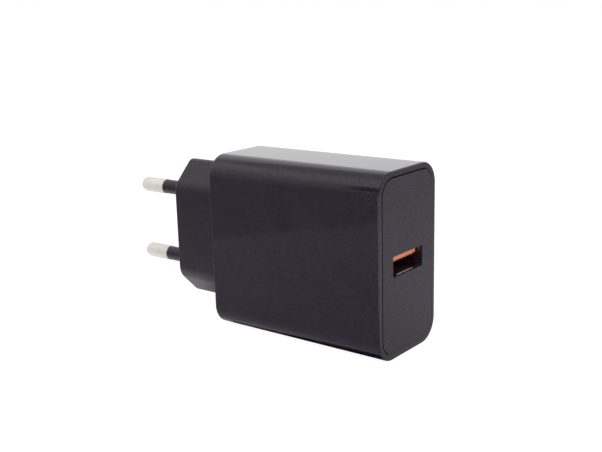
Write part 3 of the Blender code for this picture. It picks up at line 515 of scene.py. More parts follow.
def rounded_box(name, low, high, radius, look):
    """A box with rounded edges and corners."""
    made = box(name, low, high, look)
    bm = bmesh.new()
    bm.from_mesh(made.data)
    bmesh.ops.bevel(bm, geom=bm.edges[:], offset=radius, segments=4, profile=0.5, affect="EDGES")
    bm.to_mesh(made.data)
    bm.free()
    return made


def tube(name, path, radius, look, steps=16):
    """A round wire with softened ends along a path of points."""
    path = [Vector(point) for point in path]
    bm = bmesh.new()
    across = (path[1] - path[0]).orthogonal().normalized()
    rings = []
    last = len(path) - 1
    for i, point in enumerate(path):
        along = (path[min(i + 1, last)] - path[max(i - 1, 0)]).normalized()
        across = (across - along * across.dot(along)).normalized()
        beside = along.cross(across)
        reach = radius * (0.8 if i in (0, last) else 1.0)
        places = [point + (across * a + beside * b) * reach for a, b in circle(steps)]
        rings.append([bm.verts.new(place) for place in places])
    skin(bm, rings, closed=False)
    return solid(name, bm, look)


def shares(steps):
    """Evenly spaced numbers from 0 to 1."""
    return [step / steps for step in range(steps + 1)]


def circle(steps):
    """Points evenly round a circle whose radius is 1."""
    angles = [math.tau * step / steps for step in range(steps)]
    return [(math.cos(a), math.sin(a)) for a in angles]


def arc(centre, radius, start, end, steps=6):
    """Points round part of a circle, from one angle to another in degrees."""
    angles = [math.radians(start + (end - start) * share) for share in shares(steps)]
    return [(centre[0] + radius * math.cos(a), centre[1] + radius * math.sin(a)) for a in angles]


def smooth_path(points, steps=6):
    """Catmull and Rom's curve through the points, with that many steps between two of them."""
    points = [Vector(point) for point in points]
    ends = [points[0] * 2 - points[1]] + points + [points[-1] * 2 - points[-2]]
    path = []
    for a, b, c, d in zip(ends, ends[1:], ends[2:], ends[3:]):
        for step in range(steps):
            t = step / steps
            bend = (b - c) * 3 + d - a
            path.append(b + ((c - a) * t + (a * 2 - b * 5 + c * 4 - d) * t**2 + bend * t**3) / 2)
    return path + [points[-1]]


def sheet_outline(path, thickness):
    """The outline of a bent sheet whose middle line runs along the path."""
    sides = ([], [])
    for i, point in enumerate(path):
        before = path[max(i - 1, 0)]
        after = path[min(i + 1, len(path) - 1)]
        along = (Vector(after) - Vector(before)).normalized()
        across = Vector((-along.y, along.x)) * thickness / 2
        sides[0].append(Vector(point) + across)
        sides[1].append(Vector(point) - across)
    return sides[0] + sides[1][::-1]


def rounded_polygon(corners, radii, steps):
    """A convex outline with each corner replaced by an arc of that many points."""
    outline = []
    for i, (corner, radius) in enumerate(zip(corners, radii)):
        corner = Vector(corner)
        back = (Vector(corners[i - 1]) - corner).normalized()
        ahead = (Vector(corners[(i + 1) % len(corners)]) - corner).normalized()
        half = back.angle(ahead) / 2
        centre = corner + (back + ahead).normalized() * radius / math.sin(half)
        first = corner + back * radius / math.tan(half) - centre
        start = math.degrees(math.atan2(first.y, first.x))
        sweep = 180 - 2 * math.degrees(half)
        outline += arc(centre, radius, start, start + sweep, steps - 1)
    return outline


def rectangle(width, height, radius, steps=CORNER_STEPS):
    """The outline of a centred rectangle with rounded corners."""
    y, z = width / 2, height / 2
    return rounded_polygon([(y, z), (-y, z), (-y, -z), (y, -z)], [radius] * 4, steps)


def fillet_sections(x, turn_x, outline, radius, steps=8):
    """Sections round an edge, from the end face at x to the full outline at x + turn_x * radius."""
    sections = []
    for share in shares(steps):
        angle = math.radians(90) * share
        inset = radius * (1 - math.sin(angle))
        sections.append((x + turn_x * radius * (1 - math.cos(angle)), outline(inset)))
    return sections


# ---- casing


def body_outline(inset):
    return rectangle(BODY_WIDTH - 2 * inset, BODY_HEIGHT - 2 * inset, BODY_CORNER - inset)


def plug_outline(offset):
    """The plug block's eight-sided outline, moved outwards by the offset."""
    side_y, top_z = PLUG_WIDTH / 2 + offset, PLUG_HEIGHT / 2 + offset
    chamfer = PLUG_CHAMFER + offset * (2 - math.sqrt(2))
    quarter = [(side_y, top_z - chamfer), (side_y - chamfer, top_z)]
    half = quarter + [(-y, z) for y, z in reversed(quarter)]
    corners = half + [(-y, -z) for y, z in half]
    side_radius, end_radius = PLUG_SIDE_RADIUS + offset, PLUG_END_RADIUS + offset
    radii = [side_radius, end_radius, end_radius, side_radius] * 2
    return rounded_polygon(corners, radii, CORNER_STEPS // 2)


def housing():
    """The glossy sleeve: closed at the back round the plug block, open at the front for the panel."""
    look = "gloss_black"
    ledge_x = FRONT_X - REBATE_DEPTH
    aperture = plug_outline(FIT)
    sections = [(BODY_REAR_X, aperture)]
    sections += fillet_sections(BODY_REAR_X, 1, body_outline, REAR_FILLET)
    sections += reversed(fillet_sections(FRONT_X, -1, body_outline, FRONT_FILLET))
    sections += [(FRONT_X, body_outline(RIM - SEAM_EDGE)), (FRONT_X - SEAM_EDGE, body_outline(RIM))]
    sections += [(ledge_x, body_outline(RIM)), (ledge_x, body_outline(WALL))]
    sections += [(CAVITY_BACK_X, body_outline(WALL)), (CAVITY_BACK_X, aperture)]
    made = loft("housing_fine", sections, look, closed=True)
    bite = 0.4 * MM
    for side in (-1, 1):
        for rail_y in (BOARD_LOW.y - FIT - RAIL_WIDTH, BOARD_HIGH.y + FIT):
            outer = (RAIL_START_X, rail_y, side * (CAVITY_HALF_Z + bite))
            inner = (RAIL_END_X, rail_y + RAIL_WIDTH, side * (BOARD_HIGH.z - bite))
            join(made, box("rail", outer, inner, look))
        for hook_y in HOOK_Y:
            cut(made, hook_pocket(side, hook_y, look))
    show(made, look, "housing")


def hook_pocket(side, hook_y, look):
    """The recess in the housing's top or bottom wall that a panel hook snaps into."""
    half = HOOK_WIDTH / 2 + FIT
    inner = (HOOK_REAR_X - FIT, hook_y - half, side * (CAVITY_HALF_Z - 1.0 * MM))
    outer = (HOOK_REAR_X + HOOK_BARB + FIT, hook_y + half, side * (CAVITY_HALF_Z + 0.75 * MM))
    return box("pocket", inner, outer, look)


def front_panel():
    """The flat panel with the USB opening, snapped into the front of the housing."""

    def edge(inset):
        return body_outline(RIM + SEAM + inset)

    def mouth(grown):
        return rectangle(PORT_WIDTH + 2 * grown, PORT_HEIGHT + 2 * grown, PORT_CORNER + grown)

    look = "satin_black"
    rear_x = FRONT_X - REBATE_DEPTH + SEAM
    lip_x = FRONT_X - PORT_LIP
    pocket = rectangle(SHELL_WIDTH + 2 * FIT, SHELL_HEIGHT + 2 * FIT, SHELL_CORNER)
    sections = [(lip_x, mouth(0))]
    sections += reversed(fillet_sections(FRONT_X, -1, mouth, PORT_EDGE, 6))
    sections += fillet_sections(FRONT_X, -1, edge, SEAM_EDGE, 4)
    sections += [(rear_x, edge(0)), (rear_x, pocket), (lip_x, pocket)]
    made = loft("front_panel_fine", sections, look, closed=True)
    for side in (-1, 1):
        for hook_y in HOOK_Y:
            join(made, snap_hook(side, hook_y, rear_x, look))
    made.location = PANEL_SHIFT
    show(made, look, "front_panel")


def snap_hook(side, hook_y, rear_x, look):
    """A flat arm with a ramped barb at its end, reaching back from the panel."""
    root_x = rear_x + 0.5 * MM
    outer = CAVITY_HALF_Z - FIT
    inner = outer - 1.1 * MM
    barb = CAVITY_HALF_Z + 0.45 * MM
    points = [(root_x, inner), (root_x, outer), (HOOK_REAR_X + HOOK_BARB, outer)]
    points += [(HOOK_REAR_X + HOOK_BARB, barb), (HOOK_REAR_X, outer - 0.2 * MM), (HOOK_REAR_X, inner)]
    outline = [(x, side * z) for x, z in points]
    return prism("hook", outline, HOOK_WIDTH, hook_y, look)


def plug_base():
    """The plug block, hollow from inside the charger, with a flange held behind the back wall."""
    look = "plug_black"
    flange_x = CAVITY_BACK_X + FIT
    flange_end_x = flange_x + FLANGE_DEPTH
    flange = plug_outline(FLANGE_REACH)
    cavity = plug_outline(-PLUG_WALL)
    sections = fillet_sections(0, 1, lambda inset: plug_outline(-inset), PLUG_FACE_FILLET)
    sections += [(flange_x, plug_outline(0)), (flange_x, flange), (flange_end_x, flange)]
    sections += [(flange_end_x, cavity), (PLUG_FACE_WALL, cavity)]
    made = loft("plug_base_fine", sections, look)
    bore_radius, past = PIN_RADIUS + FIT / 2, 1 * MM
    for side in (-1, 1):
        centre = (0, 0, side * PIN_Z)
        boss_start = PLUG_FACE_WALL - 0.5 * MM
        boss = [(boss_start, PIN_BOSS_RADIUS), (PIN_INNER_END - FIT, PIN_BOSS_RADIUS)]
        join(made, lathe("boss", boss, centre, look))
        bore = [(-past, bore_radius), (PIN_INNER_END + past, bore_radius)]
        cut(made, lathe("bore", bore, centre, look))
    show(made, "satin_black", "plug_base")


# ---- pins


def pin(word, side):
    """A round pin with a domed tip, a neck under its sleeve, retaining grooves and a solder post."""
    neck_end_x, step_back = 1.3 * MM, 0.1 * MM
    profile = arc((PIN_TIP_X + PIN_RADIUS, 0), PIN_RADIUS, 176, 90, 16)
    profile += [(-SLEEVE_LENGTH - step_back, PIN_RADIUS), (-SLEEVE_LENGTH, PIN_RADIUS - step_back)]
    profile += [(-SLEEVE_LENGTH, PIN_NECK_RADIUS), (neck_end_x, PIN_NECK_RADIUS)]
    profile += [(neck_end_x, PIN_RADIUS)]
    floor, slant, width = PIN_RADIUS - PIN_GROOVE_DEPTH, 0.3 * MM, 1.3 * MM
    for groove_x in PIN_GROOVES_X:
        profile += [(groove_x, PIN_RADIUS), (groove_x + slant, floor)]
        profile += [(groove_x + width - slant, floor), (groove_x + width, PIN_RADIUS)]
    profile += [(PIN_INNER_END, PIN_RADIUS), (PIN_INNER_END, PIN_POST_RADIUS)]
    profile += [(PIN_POST_END, PIN_POST_RADIUS)]
    made = lathe(f"pin_{word}_fine", profile, (0, 0, side * PIN_Z), "nickel")
    show(made, "nickel", f"pin_{word}", crease=25)


def pin_sleeve(word, side):
    """The insulating sleeve round the root of a pin."""
    start, end = -SLEEVE_LENGTH + 0.05 * MM, 1.2 * MM
    inner, edge = PIN_NECK_RADIUS + 0.08 * MM, 0.15 * MM
    loop = [(start, inner)] + arc((start + edge, SLEEVE_RADIUS - edge), edge, 180, 90, 4)
    loop += [(end, SLEEVE_RADIUS), (end, inner)]
    place = (0, 0, side * PIN_Z)
    made = lathe(f"pin_sleeve_{word}_fine", loop, place, "sleeve_black", closed=True)
    show(made, "sleeve_black", f"pin_sleeve_{word}")


# ---- USB receptacle


def usb_shell():
    """The folded steel shell, open at both ends, with four spring windows and legs into the board."""
    look = "steel"
    inner_width, inner_height = SHELL_WIDTH - 2 * SHELL_SHEET, SHELL_HEIGHT - 2 * SHELL_SHEET
    outer = rectangle(SHELL_WIDTH, SHELL_HEIGHT, SHELL_CORNER, SHELL_STEPS)
    inner = rectangle(inner_width, inner_height, SHELL_CORNER - SHELL_SHEET, SHELL_STEPS)
    sections = [(SHELL_REAR_X, outer), (SHELL_MOUTH_X, outer)]
    sections += [(SHELL_MOUTH_X, inner), (SHELL_REAR_X, inner)]
    made = loft("usb_shell_fine", sections, look, closed=True)
    window_rear_x = SPRING_ROOT_X - SPRING_LENGTH - SPRING_GAP
    window_front_x = SPRING_ROOT_X + 0.05 * MM
    window_half = SPRING_WIDTH / 2 + SPRING_GAP
    leg_half, leg_start_y = 0.8 * MM, SHELL_WIDTH / 2 - 0.6 * MM
    for top in (-1, 1):
        for y in (-SPRING_Y, SPRING_Y):
            inside = (window_rear_x, y - window_half, top * (SHELL_HEIGHT / 2 - 2 * SHELL_SHEET))
            outside = (window_front_x, y + window_half, top * (SHELL_HEIGHT / 2 + SHELL_SHEET))
            cut(made, box("window", inside, outside, look))
        wall_z = top * (SHELL_HEIGHT - SHELL_SHEET) / 2
        for leg_x in (SHELL_REAR_X + 2.0 * MM, SHELL_REAR_X + 7.0 * MM):
            low = (leg_x - leg_half, leg_start_y, wall_z - SHELL_SHEET / 2)
            high = (leg_x + leg_half, LEAD_END_Y, wall_z + SHELL_SHEET / 2)
            join(made, box("leg", low, high, look))
    join(made, shell_rib(look))
    show(made, look, "usb_shell")


def shell_rib(look):
    """The low rounded rib pressed up in the shell's floor, just inside its mouth."""
    floor_z = SHELL_SHEET - SHELL_HEIGHT / 2
    centre = (SHELL_RIB_X, floor_z - 0.17 * SHELL_RIB_RADIUS)
    profile = arc(centre, SHELL_RIB_RADIUS, 10, 170, 8)
    profile.append((SHELL_RIB_X - SHELL_RIB_RADIUS, floor_z - SHELL_SHEET / 2))
    profile.append((SHELL_RIB_X + SHELL_RIB_RADIUS, floor_z - SHELL_SHEET / 2))
    return prism("rib", profile, 2 * SHELL_RIB_HALF, 0, look)


def usb_insulator():
    """The moulded block and the tongue with a sloped nose, grooved underneath for each contact."""
    look = "orange_resin"
    half_y = SHELL_WIDTH / 2 - SHELL_SHEET - 0.1 * MM
    half_z = SHELL_HEIGHT / 2 - SHELL_SHEET - 0.1 * MM
    low, high = (SHELL_REAR_X, -half_y, -half_z), (TONGUE_ROOT_X, half_y, half_z)
    made = box("usb_insulator_fine", low, high, look)
    outline = [
        (TONGUE_ROOT_X - 1 * MM, TONGUE_UNDER_Z),
        (TONGUE_FRONT_X - TONGUE_NOSE_LENGTH, TONGUE_UNDER_Z),
        (TONGUE_FRONT_X, TONGUE_UNDER_Z + TONGUE_NOSE_HEIGHT),
        (TONGUE_FRONT_X, TONGUE_TOP_Z),
        (TONGUE_ROOT_X - 1 * MM, TONGUE_TOP_Z),
    ]
    join(made, prism("tongue", outline, TONGUE_WIDTH, 0, look))
    for y in CONTACT_Y:
        low = (TONGUE_ROOT_X - 0.4 * MM, y - GROOVE_WIDTH / 2, TONGUE_UNDER_Z - 0.5 * MM)
        high = (TONGUE_FRONT_X - 1.0 * MM, y + GROOVE_WIDTH / 2, TONGUE_UNDER_Z + GROOVE_DEPTH)
        cut(made, box("groove", low, high, look))
    show(made, look, "usb_insulator", bevel=TONGUE_EDGE)


def usb_contact(index, y):
    """A springy contact: its bump stands below the tongue, and its root and tip are in the groove."""
    root_x = TONGUE_ROOT_X - 0.15 * MM
    path = [(root_x + along * MM, TONGUE_UNDER_Z + height * MM) for along, height in CONTACT_BENDS]
    outline = sheet_outline(smooth_path(path), CONTACT_SHEET)
    made = prism(f"usb_contact_{index}_fine", outline, CONTACT_WIDTH, y, "gold")
    show(made, "gold", f"usb_contact_{index}", body=f"contact_{index}", bevel=CONTACT_EDGE)


def shell_spring(word, hand, y, top):
    """A strip of the shell's wall, rooted near the mouth and bent inwards to grip a cable's plug."""
    wall_z = (SHELL_HEIGHT - SHELL_SHEET) / 2
    path = []
    for share in shares(24):
        inward = SPRING_DEPTH * math.sin(math.pi * share**SPRING_LEAN)
        path.append((SPRING_ROOT_X - share * SPRING_LENGTH, top * (wall_z - inward)))
    name = f"spring_{word}_{hand}"
    made = prism(f"usb_{name}_fine", sheet_outline(path, SHELL_SHEET), SPRING_WIDTH, y, "steel")
    show(made, "steel", f"usb_{name}", body=name, bevel=SPRING_EDGE)


# ---- parts on the board


def space(name):
    """A CAD node's lowest and highest corner, and the x and z of its middle."""
    low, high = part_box(name)
    return low, high, (low.x + high.x) / 2, (low.z + high.z) / 2


def add_leads(made, places, look, from_y):
    """Round leads through the board at each (x, z), starting inside the part."""
    tip = 0.12 * MM
    for x, z in places:
        profile = [(from_y, LEAD_RADIUS), (LEAD_END_Y - tip, LEAD_RADIUS)]
        profile += [(LEAD_END_Y, LEAD_RADIUS - tip)]
        join(made, lathe("lead", profile, (x, 0, z), look, axis="Y", steps=16))


def can(name, look):
    """A round capacitor: a groove near its foot, rounded rims and a vent cross pressed into its top."""
    low, high, x, z = space(name)
    radius = (high.z - low.z) / 2
    height = FOOT_Y - low.y
    rim, sunk = 0.5 * MM, 0.3 * MM
    profile = arc((rim, radius - rim), rim, 180, 90)
    groove_start, groove_width, groove_depth = 1.6 * MM, 1.3 * MM, 0.35 * MM
    for share in shares(10):
        dip = groove_depth * math.sin(math.pi * share) ** 2
        profile.append((groove_start + groove_width * share, radius - dip))
    profile += arc((height - rim, radius - rim), rim, 90, 0)[:-1]
    profile += [(height, radius - 2 * rim), (height - sunk, radius - 2.4 * rim)]
    made = lathe(f"{name}_fine", profile, (x, FOOT_Y, z), look, axis="-Y")
    long, slit, cut_y = radius * 0.55, 0.14 * MM, low.y + 0.42 * MM
    for half_x, half_z in ((long, slit), (slit, long)):
        low_cut = (x - half_x, low.y - 1 * MM, z - half_z)
        cut(made, box("vent", low_cut, (x + half_x, cut_y, z + half_z), look))
    add_leads(made, [(x, z - radius / 2), (x, z + radius / 2)], look, FOOT_Y - 1 * MM)
    show(made, look, name)


def block(name, leads, edge=0.35 * MM):
    """A moulded package on the board, with a parting groove and a round dimple in its top.

    The leads are (x, z) distances in mm from its middle.
    """
    look = "black_resin"
    low, high, x, z = space(name)
    made = rounded_box(f"{name}_fine", low, (high.x, FOOT_Y, high.z), edge, look)
    dent = (x - (high.x - low.x) * 0.22, low.y, z)
    dimple = [(-0.2 * MM, 0.5 * MM), (0.12 * MM, 0.42 * MM)]
    cut(made, lathe("dimple", dimple, dent, look, axis="Y", steps=24))
    groove_y, deep, past = (low.y + FOOT_Y) / 2, 0.08 * MM, 1 * MM
    for low_x, high_x in ((low.x - past, low.x + deep), (high.x - deep, high.x + past)):
        low_cut = (low_x, groove_y - deep, low.z - past)
        cut(made, box("groove", low_cut, (high_x, groove_y + deep, high.z + past), look))
    places = [(x + dx * MM, z + dz * MM) for dx, dz in leads]
    add_leads(made, places, look, FOOT_Y - 0.8 * MM)
    show(made, look, name)


def disc(name, look):
    """A dipped disc standing on edge, its coating drawn a little way down both leads."""
    low, high, x, z = space(name)
    radius, half = (high.z - low.z) / 2, (high.x - low.x) / 2
    centre_y = low.y + radius
    bulge = 0.45
    profile = [(half * along, radius * out**bulge) for along, out in arc((0, 0), 1, 174, 6, 24)]
    made = lathe(f"{name}_fine", profile, (x, centre_y, z), look)
    inside_y = centre_y + radius * 0.5
    drawn = [(inside_y, 0.9 * MM), (centre_y + radius * 0.85, 0.7 * MM)]
    drawn += [(centre_y + radius * 1.12, LEAD_RADIUS + 0.05 * MM)]
    places = [(x, z - radius * 0.6), (x, z + radius * 0.6)]
    for place_x, place_z in places:
        join(made, lathe("drawn", drawn, (place_x, 0, place_z), look, axis="Y", steps=24))
    add_leads(made, places, look, inside_y)
    show(made, look, name, crease=40)


def drum(name):
    """A bobbin-shaped choke with its turns of wire between two flanges."""
    look = "ferrite"
    low, high, x, z = space(name)
    radius = (high.z - low.z) / 2
    height = FOOT_Y - low.y
    flange, edge, turns = 1.2 * MM, 0.15 * MM, 12
    coil = radius - 0.5 * MM
    pitch = (height - 2 * flange) / turns

    def rounded_rim(start, end):
        rim = arc((start + edge, radius - edge), edge, 180, 90, 3)
        return rim + arc((end - edge, radius - edge), edge, 90, 0, 3)

    profile = rounded_rim(0, flange)
    for turn in range(turns):
        profile += arc((flange + pitch * (turn + 0.5), coil), pitch / 2, 170, 10, 6)
    profile += rounded_rim(height - flange, height)
    made = lathe(f"{name}_fine", profile, (x, FOOT_Y, z), look, axis="-Y")
    add_leads(made, [(x, z - radius / 2), (x, z + radius / 2)], look, FOOT_Y - 0.8 * MM)
    show(made, look, name)


def chip(name):
    """A surface-mount package on the solder side, with four bent feet on each side."""
    look = "black_resin"
    low, high, x, z = space(name)
    foot_reach, foot_width, sheet, edge = 0.8 * MM, 0.4 * MM, 0.2 * MM, 0.1 * MM
    body_low = (low.x + foot_reach, low.y + 0.08 * MM, low.z)
    made = rounded_box(f"{name}_fine", body_low, (high.x - foot_reach, high.y, high.z), edge, look)
    half = (high.x - low.x) / 2
    for row in (-1, 1):
        path = [(x + row * (half - back * MM), low.y + up * MM) for back, up in CHIP_FOOT_BENDS]
        for step in (-1.5, -0.5, 0.5, 1.5):
            foot_z = z + step * (high.z - low.z) / 4
            join(made, prism("foot", sheet_outline(path, sheet), foot_width, foot_z, look, along="Z"))
    dent = (x - 0.8 * MM, high.y, z - 0.8 * MM)
    dimple = [(-0.08 * MM, 0.22 * MM), (0.2 * MM, 0.3 * MM)]
    cut(made, lathe("dimple", dimple, dent, look, axis="Y", steps=24))
    show(made, look, name)


def supply_wire(name, look, side):
    """An insulated wire from a pin's solder post, round to its pad on the board's face."""
    low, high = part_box(name)
    start = Vector((PIN_POST_END + FIT, 0, side * PIN_Z))
    pad_z = min(abs(low.z), abs(high.z)) + WIRE_RADIUS - FIT
    end = Vector((WIRE_PAD_X, high.y, side * pad_z))
    run, drop = Vector((6 * MM, 0, 0)), Vector((0, 5 * MM, 0))
    path = interpolate_bezier(start, start + run, end - drop, end, WIRE_STEPS + 1)
    show(tube(f"{name}_fine", path, WIRE_RADIUS, look, 24), look, name)


def choke_core():
    """The mains filter's toroid, standing on edge, with rounded rims."""
    low, high, x, z = space("choke_core")
    outer, half = (high.z - low.z) / 2, (high.x - low.x) / 2
    inner, edge = 2.3 * MM, 0.3 * MM
    loop = arc((edge - half, outer - edge), edge, 180, 90)
    loop += arc((half - edge, outer - edge), edge, 90, 0)
    loop += arc((half - edge, inner + edge), edge, 0, -90)
    loop += arc((edge - half, inner + edge), edge, -90, -180)
    place = (x, (low.y + high.y) / 2, z)
    made = lathe("choke_core_fine", loop, place, "ferrite", closed=True)
    show(made, "ferrite", "choke_core")


def choke_winding(word, side):
    """Half of the toroid's winding: one enamelled wire, wound round and brought down to the board."""
    low, high, x, z = space("choke_core")
    y = (low.y + high.y) / 2
    wire_radius, turns, steps, half_span = 0.26 * MM, 6.5, 24, 58
    middle_radius, reach, half = 3.08 * MM, 1.3 * MM, 2.1 * MM
    count = int(turns * steps)

    def place(along, radius, degrees):
        """A point round the toroid's axis, that many degrees up from its middle."""
        angle = math.radians(degrees)
        return Vector((x + along, y + radius * math.sin(angle), z + side * radius * math.cos(angle)))

    def squared(value):
        """Pushes a sine or a cosine out towards a rounded square."""
        return math.copysign(abs(value) ** 0.6, value)

    coil = []
    for step in range(count + 1):
        angle = math.tau * step / steps
        radius = middle_radius + reach * squared(math.sin(angle))
        degrees = half_span * (1 - 2 * step / count)
        coil.append(place(-half * squared(math.cos(angle)), radius, degrees))
    lead_x, lead_y, lead_z = 2.0 * MM, y + 5.0 * MM, z + side * 3.3 * MM
    start = [Vector((x - lead_x, LEAD_END_Y, lead_z)), Vector((x - lead_x, lead_y, lead_z))]
    out, close, wide = half + 0.8 * MM, 3.4 * MM, 4.4 * MM
    around = [place(out, close, -45), place(out, close, 0), place(out, wide, 50)]
    end = [Vector((x + lead_x, lead_y, lead_z)), Vector((x + lead_x, LEAD_END_Y, lead_z))]
    path = smooth_path(start + [coil[0]], 6)[:-1] + coil
    path += smooth_path([coil[-1]] + around + end, 8)[1:]
    made = tube(f"choke_winding_{word}_fine", path, wire_radius, "copper", 12)
    show(made, "copper", f"choke_winding_{word}")


def transformer_winding():
    """The coil between the bobbin's flanges, wrapped in tape that shows each turn's edge."""
    low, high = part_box("transformer_winding")
    x, y, half_z = (low.x + high.x) / 2, (low.y + high.y) / 2, (high.z - low.z) / 2
    size = high - low
    end_inset, step_depth, wraps = 0.3 * MM, 0.06 * MM, 4
    wrap_width = 2 * half_z / wraps
    end = rectangle(size.x - end_inset, size.y - end_inset, 1.0 * MM, 8)
    hole = rectangle(6.4 * MM, 6.8 * MM, 0.3 * MM, 8)
    sections = [(-half_z, end)]
    for wrap in range(wraps):
        start = wrap * wrap_width - half_z
        inset = 2 * step_depth if wrap % 2 else 0.0
        ring = rectangle(size.x - inset, size.y - inset, 1.1 * MM, 8)
        sections += [(start + step_depth, ring), (start + wrap_width - step_depth, ring)]
    sections += [(half_z, end), (half_z, hole), (-half_z, hole)]
    bm = bmesh.new()
    rings = [[bm.verts.new((x + a, y + b, level)) for a, b in ring] for level, ring in sections]
    skin(bm, rings, closed=True)
    made = solid("transformer_winding_fine", bm, "yellow_tape")
    show(made, "yellow_tape", "transformer_winding")


def board_parts():
    """The finer stand-ins for what the circuit board carries."""
    for word, side in HALVES:
        can(f"bulk_capacitor_{word}", "can")
        can(f"output_capacitor_{word}", "metal_can")
        choke_winding(word, side)
    choke_core()
    transformer_winding()
    supply_wire("live_wire", "brown_wire", 1)
    supply_wire("neutral_wire", "blue_wire", -1)
    block("fuse", [(0, -1.8), (0, 1.8)], 0.6 * MM)
    block("bridge_rectifier", [(0, -2.7), (0, -0.9), (0, 0.9), (0, 2.7)])
    block("switching_transistor", [(-2.2, 0), (0, 0), (2.2, 0)])
    block("opto_coupler", [(-2.4, -1.3), (-2.4, 1.3), (2.4, -1.3), (2.4, 1.3)], 0.25 * MM)
    disc("inrush_limiter", "green_resin")
    disc("safety_capacitor", "blue_resin")
    drum("filter_choke")
    drum("output_choke")
    for name in ("controller_chip", "rectifier_chip", "protocol_chip"):
        chip(name)


# ---- carried-over CAD nodes

CAD_EDGE = 0.06 * MM


def dress_cad_nodes():
    """Gives every CAD node that is still shown its material and softly rounded edges."""
    for part in frame["record"]["subparts"]:
        made = frame["nodes"][part["node"]]
        if made.hide_render:
            continue
        made.data.materials.clear()
        made.data.materials.append(LOOKS[part["material_slot"]])
        add_bevel(made, CAD_EDGE, 2)


# ---- studio

WHITE = (1.0, 1.0, 1.0)
FLOOR_DROP = 0.02 * MM
SOFTBOX_SIZE = 0.6


def studio_floor():
    """A pale round light table. For glossy rays it glows instead, a painted reflection shaped by place,
    which the charger's surfaces mirror.
    """
    bm = bmesh.new()
    bmesh.ops.create_circle(bm, cap_ends=True, radius=3.0, segments=96)
    made = solid("floor", bm)
    made.location.z = BODY_LOW.z - FLOOR_DROP
    look, tree, shader = start_look("floor_paper", 0.9)
    place = stretched_place(tree)
    fibres = speckle(tree, place, 1.5 * MM, detail=4.0)
    paper = blend_colours(tree, ramp(tree, fibres, *WIDE_NOISE), (0.88,) * 3, (0.92,) * 3)
    feed_named(tree, shader, Base_Color=paper, Specular_IOR_Level=0.0)
    # Painted reflection: a glow seen only by glossy rays, with painted light and a painted contact
    # shadow in it.
    painted_reflection = node(tree, "Emission", Color=(1.0, 0.97, 1.04), Strength=painted_floor_reflection(tree, place))
    lit = node(tree, "Emission", Color=WHITE, Strength=LIGHT_TABLE)
    rays = node(tree, "LightPath").outputs
    seen = calculate(tree, "MULTIPLY", rays["Is Camera Ray"], LIGHT_TABLE_SHARE)
    surface = switch(tree, seen, switch(tree, rays["Is Glossy Ray"], shader, painted_reflection), lit)
    feed_named(tree, tree.nodes["Material Output"], Surface=surface.outputs[0])
    made.data.materials.append(look)


def painted_floor_reflection(tree, place):
    """The painted reflection of the floor: how bright it glows for glossy rays only, by its place in
    metres.
    """
    spot = node(tree, "SeparateXYZ", Vector=place).outputs
    x, y = spot["X"], spot["Y"]

    # The large side mirrors a painted reflection where y is below 0: darker towards the front and past a
    # slanting edge, and bright in front of the charger.
    slant, shade, table = 1.34, -0.15, 1.4
    edge = calculate(tree, "MULTIPLY_ADD", x, slant, y)
    past_edge = ramp(tree, edge, -0.142, -0.128, shade, 0.0)
    along_side = ramp(tree, x, -0.03, 0.06, 0.49, 0.38)
    beside = calculate(tree, "ADD", past_edge, along_side)
    beside = between(tree, ramp(tree, x, 0.075, 0.11), beside, table)

    # The front panel mirrors the painted reflection where y is above 0.
    in_front = ramp(tree, y, 0.05, 0.16, 0.74, 0.53)
    in_front = calculate(tree, "MULTIPLY", in_front, ramp(tree, y, -0.01, 0.05, 0.72, 1.0))
    bright = between(tree, ramp(tree, y, -0.02, 0.0), beside, in_front)

    # Painted light: a brighter glowing patch under the plug block, which its lower chamfer mirrors as a
    # painted highlight.
    behind_body, under_body = ramp(tree, x, 0.0065, -0.006), ramp(tree, y, -0.035, -0.012)
    painted_light_under_plug = calculate(tree, "MULTIPLY", behind_body, under_body)
    bright = calculate(tree, "MULTIPLY_ADD", painted_light_under_plug, 0.75, bright)

    # Painted contact shadow: it's dark under the body, inside a line that comes closer to the body's
    # edge towards the front.
    middle_x, half_x = (BODY_REAR_X + FRONT_X) / 2, (FRONT_X - BODY_REAR_X) / 2
    off_x = calculate(tree, "ABSOLUTE", calculate(tree, "SUBTRACT", x, middle_x))
    off_x = calculate(tree, "SUBTRACT", off_x, half_x)
    off_y = calculate(tree, "SUBTRACT", calculate(tree, "ABSOLUTE", y), BODY_WIDTH / 2)
    reach = ramp(tree, x, BODY_REAR_X, FRONT_X, 0.4 * MM, 2.1 * MM)
    outside = calculate(tree, "SUBTRACT", calculate(tree, "MAXIMUM", off_x, off_y), reach)
    # The painted contact shadow's share: near 0 under the body, 1 outside it.
    foot = ramp(tree, outside, -3.2 * MM, -2.2 * MM, 0.02, 1.0)
    return calculate(tree, "MULTIPLY", bright, foot)


def studio_world():
    """White for the camera, soft white light for matt surfaces, and a shaped room for reflections."""
    world = bpy.data.worlds.new("studio")
    bpy.context.scene.world = world
    world.use_nodes = True
    tree = world.node_tree
    rays = node(tree, "LightPath").outputs
    direction = node(tree, "TexCoord").outputs["Generated"]
    strength = calculate(tree, "MULTIPLY_ADD", rays["Is Camera Ray"], 1.0 - SOFT_LIGHT, SOFT_LIGHT)
    change = calculate(tree, "SUBTRACT", mirrored_room(tree, direction), strength)
    strength = calculate(tree, "MULTIPLY_ADD", rays["Is Glossy Ray"], change, strength)
    feed_named(tree, tree.nodes["Background"], Color=WHITE, Strength=strength)


def towards(tree, direction, way):
    """The cosine of the angle between a direction and a way to face."""
    made = node(tree, "VectorMath", {"operation": "DOT_PRODUCT"})
    feed(tree, made.inputs[0], direction)
    feed(tree, made.inputs[1], Vector(way).normalized())
    return made.outputs["Value"]


